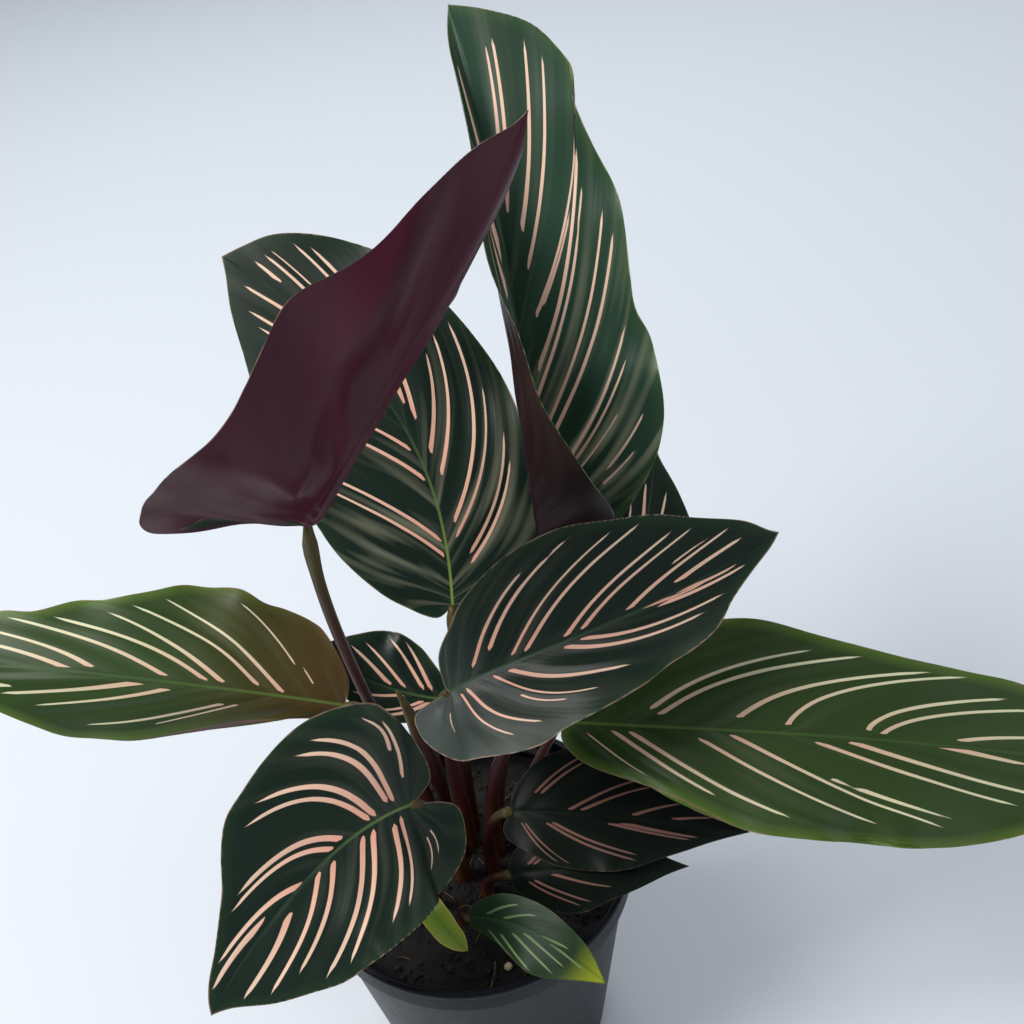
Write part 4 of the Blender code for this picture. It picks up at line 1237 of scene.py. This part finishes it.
class CALATHEA_OT_pot(bpy.types.Operator):
    """Build the nursery pot with its rolled rim, rim band and drain holes"""

    bl_idname = "calathea.pot"
    bl_label = "Pot"

    def execute(self, context):
        settings = context.scene.calathea.pot
        step = POT_HEIGHT - RIM_BAND
        slope = (WALL_TOP_RADIUS - FOOT_RADIUS) / step
        roll_centre = (RIM_RADIUS - RIM_ROLL, POT_HEIGHT - RIM_ROLL)
        roll = []
        for angle in np.radians(np.linspace(180, 0, 15)):
            roll.append((roll_centre[0] + RIM_ROLL * math.cos(angle),
                         roll_centre[1] + RIM_ROLL * math.sin(angle)))
        inside = rounded([
            (0.0, FLOOR), (FOOT_RADIUS + slope * FLOOR - WALL, FLOOR),
            (WALL_TOP_RADIUS - WALL, step + WALL), (RIM_RADIUS - WALL, step + RIM_STEP + WALL),
            (RIM_RADIUS - WALL, POT_HEIGHT - 2 * RIM_ROLL), roll[0]], INSIDE_ROUND)
        band = RIM_RADIUS - BAND_SETBACK
        outside = rounded([
            roll[-1], (RIM_RADIUS, POT_HEIGHT - ROLL_DEPTHS[0] * RIM_ROLL),
            (band, POT_HEIGHT - ROLL_DEPTHS[1] * RIM_ROLL), (band, step + RIM_STEP),
            (WALL_TOP_RADIUS, step), (FOOT_RADIUS + slope * FOOT_ROUND, FOOT_ROUND),
            (FOOT_RADIUS - FOOT_ROUND, 0.0), (0.0, 0.0)], OUTSIDE_ROUND)
        bm = bmesh.new()
        turned(bm, [*inside, *roll[1:-1], *outside], POT_SPOKES)
        mesh = mesh_of("pot_fine", bm, smooth=False)
        drills = bmesh.new()
        for x, y in circle(DRAIN_CIRCLE * MM, DRAIN_HOLES):
            bmesh.ops.create_cone(
                drills, cap_ends=True, segments=40, radius1=DRAIN_RADIUS * MM,
                radius2=DRAIN_RADIUS * MM, depth=4 * FLOOR * MM,
                matrix=Matrix.Translation((x, y, 0.0)))
        cutter_mesh = mesh_of("drain_cutter", drills, smooth=False)
        cutter = bpy.data.objects.new("drain_cutter", cutter_mesh)
        blank = bpy.data.objects.new("pot_blank", mesh)
        for item in (cutter, blank):
            context.scene.collection.objects.link(item)
        drain = blank.modifiers.new("drain", "BOOLEAN")
        drain.operation = "DIFFERENCE"
        drain.solver = "EXACT"
        drain.object = cutter
        cut = blank.evaluated_get(context.evaluated_depsgraph_get())
        drilled = bpy.data.meshes.new_from_object(cut)
        for item in (cutter, blank):
            bpy.data.objects.remove(item)
        drilled.shade_smooth()
        drilled.set_sharp_from_angle(angle=math.radians(SHARP_EDGE))
        piece = new_piece("pot_fine", drilled, (moulded_polypropylene(settings),))
        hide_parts("pot")
        return {"FINISHED"}


def peat_height(x, y, radius, rough=1.0):
    """Height in mm of the lumpy peat surface."""
    share = min(math.hypot(x, y) / radius, 1.0)
    lump = LUMP_HEIGHT * noise.fractal(Vector((x, y, 0)) * LUMP_FINENESS, *LUMP_FRACTAL)
    grit = GRIT_HEIGHT * noise.noise(Vector((x, y, 7)) * GRIT_FINENESS)
    mound = SOIL_MOUND * (1 - share**2) - EDGE_DROP * share**4
    return SOIL_TOP + mound + (lump + grit) * rough


class CALATHEA_OT_soil(bpy.types.Operator):
    """Build the peat that fills the pot"""

    bl_idname = "calathea.soil"
    bl_label = "Soil"

    def execute(self, context):
        settings = context.scene.calathea.soil
        peat = moist_peat("moist_peat", settings.dark, settings.brown)
        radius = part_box("soil")[1].x / MM
        bm = bmesh.new()
        rings = []
        for ring in range(1, PEAT_RINGS + 1):
            rough = 1.0 if ring < PEAT_RINGS - 1 else EDGE_ROUGHNESS
            points = circle(radius * ring / PEAT_RINGS, PEAT_SPOKES)
            rings.append([bm.verts.new((x, y, peat_height(x, y, radius, rough)))
                          for x, y in points])
        points = circle(radius * PEAT_FOOT_SHARE, PEAT_SPOKES)
        rings.append([bm.verts.new((x, y, PEAT_FOOT)) for x, y in points])
        skin_rings(bm, bm.verts.new((0, 0, SOIL_TOP + SOIL_MOUND)), rings)
        bm.faces.new(rings[-1][::-1])
        bmesh.ops.scale(bm, vec=(MM,) * 3, verts=bm.verts)
        piece = new_piece("soil_fine", mesh_of("soil_fine", bm), (peat,))
        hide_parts("soil")
        return {"FINISHED"}


class CALATHEA_OT_litter(bpy.types.Operator):
    """Scatter loose crumbs, plant fibres and one straw on the peat"""

    bl_idname = "calathea.litter"
    bl_label = "Crumbs and fibres"

    def execute(self, context):
        settings = context.scene.calathea.soil
        rng = np.random.default_rng(11)
        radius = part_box("soil")[1].x / MM
        feet = [leaf.foot for leaf in LEAVES.values()] + [ROLLED_LEAF_PATH[0][:2]]
        crumbs = bmesh.new()
        while len(crumbs.verts) < settings.crumbs * CRUMB_CORNERS:
            size = rng.uniform(*CRUMB_SIZE) + LARGE_CRUMB * rng.random() ** 4
            out = (radius - WALL_CLEARANCE) * math.sqrt(rng.random())
            angle = rng.uniform(0.0, 2 * math.pi)
            x, y = out * math.cos(angle), out * math.sin(angle)
            if (min(math.dist(foot, (x, y)) for foot in feet) < STALK_CLEARANCE + size
                    or math.dist(BEAD_PLACE[:2], (x, y)) < BEAD_CLEARANCE + size):
                continue
            turn = Euler(rng.uniform(0, 6, 3)).to_matrix().to_4x4()
            shape = Matrix.Diagonal((*(size * rng.uniform(0.6, 1.2, 3)), 1.0))
            place = Matrix.Translation((x, y, peat_height(x, y, radius) + 0.25 * size))
            lump = bmesh.ops.create_icosphere(crumbs, subdivisions=2, radius=1.0)["verts"]
            for vert in lump:
                dent = noise.noise(vert.co * 1.7 + Vector((x, y, size * 9)))
                vert.co *= 1.0 + CRUMB_DENT * dent
            bmesh.ops.transform(crumbs, matrix=place @ turn @ shape, verts=lump)
        bmesh.ops.scale(crumbs, vec=(MM,) * 3, verts=crumbs.verts)
        skin = moist_peat("loose_peat_crumbs", settings.brown, linear("#3a2b20"))
        new_piece("peat_crumbs", mesh_of("peat_crumbs", crumbs), (skin,))

        strands = [STRAW]
        for _ in range(settings.fibres):
            angle = rng.uniform(0.0, 2 * math.pi)
            out = (radius - FIBRE_START_CLEARANCE) * math.sqrt(rng.random())
            strands.append(((out * math.cos(angle), out * math.sin(angle)), rng.uniform(0, 6.28),
                            rng.uniform(*FIBRE_LENGTH), rng.uniform(*FIBRE_RADIUS)))
        fibres = bmesh.new()
        for (x, y), heading, length, thick in strands:
            turning = rng.uniform(-FIBRE_TURN, FIBRE_TURN)
            step = length / (FIBRE_POINTS - 1)
            points = []
            for _ in range(FIBRE_POINTS):
                if math.hypot(x, y) > radius - FIBRE_CLEARANCE:
                    break
                points.append((x, y, peat_height(x, y, radius) + thick + FIBRE_LIFT))
                x += math.cos(heading) * step
                y += math.sin(heading) * step
                heading += turning
            if len(points) < FEWEST_POINTS:
                continue
            # a fibre bridges the small hollows, so its height is evened out along its run
            heights = np.array([point[2] for point in points])
            even = np.convolve(np.pad(heights, 1, "edge"), np.ones(3) / 3, "valid")
            points = [(px, py, z) for (px, py, _), z in zip(points, np.maximum(heights, even))]
            radii = [thick * 0.6, *[thick] * (len(points) - 2), thick * 0.5]
            strand = tube_mesh("strand", points, radii, 8)
            fibres.from_mesh(strand)
            bpy.data.meshes.remove(strand)
        skin = moist_peat("dry_plant_fibre", linear("#5d4630"), linear("#93774f"))
        new_piece("peat_fibres", mesh_of("peat_fibres", fibres), (skin,))
        return {"FINISHED"}


class CALATHEA_OT_feed_bead(bpy.types.Operator):
    """Build the cream feed granule"""

    bl_idname = "calathea.feed_bead"
    bl_label = "Feed granule"

    def execute(self, context):
        bm = bmesh.new()
        bmesh.ops.create_icosphere(bm, subdivisions=5, radius=BEAD_RADIUS * MM)
        for vert in bm.verts:
            dent = 0.035 * noise.noise(vert.co / MM * 1.3) + 0.01 * noise.noise(vert.co / MM * 6.0)
            vert.co *= 1.0 - abs(dent)
        bmesh.ops.translate(bm, vec=Vector(BEAD_PLACE) * MM, verts=bm.verts)
        piece = new_piece("feed_bead_fine", mesh_of("feed_bead_fine", bm), (dry_granule(),))
        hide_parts("feed_bead")
        return {"FINISHED"}


def soft_light(name, place, height, size, power, colour):
    """Softbox at a place in metres that looks at a height on the pot's axis."""
    light = bpy.data.lights.new(name, "AREA")
    light.shape = "RECTANGLE"
    light.size, light.size_y = size
    light.energy = power
    light.color = colour
    lamp = bpy.data.objects.new(name, light)
    lamp.location = place
    lamp.rotation_euler = (Vector((0, 0, height)) - Vector(place)).to_track_quat("-Z", "Y").to_euler()
    bpy.context.scene.collection.objects.link(lamp)


class CALATHEA_OT_stage(bpy.types.Operator):
    """Set the floor, the lights and the camera"""

    bl_idname = "calathea.stage"
    bl_label = "Stage"

    def execute(self, context):
        settings = context.scene.calathea.stage
        scene = context.scene
        bm = bmesh.new()
        bmesh.ops.create_grid(bm, x_segments=8, y_segments=8, size=5.0)
        floor = bpy.data.objects.new("floor", mesh_of("floor", bm, smooth=False))
        floor.data.materials.append(matt_board(settings))
        scene.collection.objects.link(floor)
        soft_light("key_softbox", (-0.7, -0.15, 1.05), 0.15, (0.6, 0.6), settings.key,
                   (1.0, 0.98, 0.96))
        soft_light("fill_softbox", (0.9, -0.5, 0.5), 0.15, (0.8, 0.8), settings.fill,
                   (0.95, 0.98, 1.0))
        soft_light("back_softbox", (0.1, 1.0, 0.9), 0.2, (1.4, 0.7), settings.back,
                   (0.97, 0.99, 1.0))
        world = bpy.data.worlds.new("studio")
        world.use_nodes = True
        background = world.node_tree.nodes["Background"]
        background.inputs["Color"].default_value = linear("#dfe7f0")
        background.inputs["Strength"].default_value = settings.sky
        scene.world = world
        lens = bpy.data.cameras.new("camera")
        lens.sensor_width = SENSOR_WIDTH
        lens.angle = math.radians(CAMERA_VIEW)
        lens.clip_start = CAMERA_NEAREST
        camera = bpy.data.objects.new("camera", lens)
        tilt = Matrix.Rotation(math.radians(CAMERA_TILT), 3, "X")
        roll = Matrix.Rotation(math.radians(CAMERA_ROLL), 3, "Z")
        camera.rotation_euler = (tilt @ roll).to_euler()
        camera.location = CAMERA_PLACE
        scene.collection.objects.link(camera)
        scene.camera = camera
        scene.view_settings.view_transform = "Standard"
        return {"FINISHED"}


class CALATHEA_PT_panel(bpy.types.Panel):
    """Lists the plant's pieces and settings"""

    bl_idname = "CALATHEA_PT_panel"
    bl_label = "Pinstripe calathea"
    bl_space_type = "VIEW_3D"
    bl_region_type = "UI"
    bl_category = "Calathea"

    def draw(self, context):
        settings = context.scene.calathea
        for group in (settings.blade, settings.stalk, settings.pot, settings.soil, settings.stage):
            box = self.layout.box()
            for key in group.bl_rna.properties.keys():
                if key not in ("rna_type", "name"):
                    box.prop(group, key)
        for operator in STEPS:
            self.layout.operator(operator.bl_idname)


STEPS = (
    CALATHEA_OT_pot,
    CALATHEA_OT_soil,
    CALATHEA_OT_litter,
    CALATHEA_OT_feed_bead,
    CALATHEA_OT_blades,
    CALATHEA_OT_stalks,
    CALATHEA_OT_rolled_leaf,
    CALATHEA_OT_stage,
)
GROUPS = (
    CalatheaBladeSettings,
    CalatheaStalkSettings,
    CalatheaPotSettings,
    CalatheaSoilSettings,
    CalatheaStageSettings,
    CalatheaSettings,
)


def register():
    """Register the classes and add the settings to the scene."""
    for item in (*GROUPS, *STEPS, CALATHEA_PT_panel):
        bpy.utils.register_class(item)
    bpy.types.Scene.calathea = bpy.props.PointerProperty(type=CalatheaSettings)


def unregister():
    """Remove the settings and the classes."""
    del bpy.types.Scene.calathea
    for item in reversed((*GROUPS, *STEPS, CALATHEA_PT_panel)):
        bpy.utils.unregister_class(item)


def main():
    """Build every piece and the stage."""
    register()
    for step in STEPS:
        family, name = step.bl_idname.split(".")
        getattr(getattr(bpy.ops, family), name)()


if __name__ == "__main__":
    main()
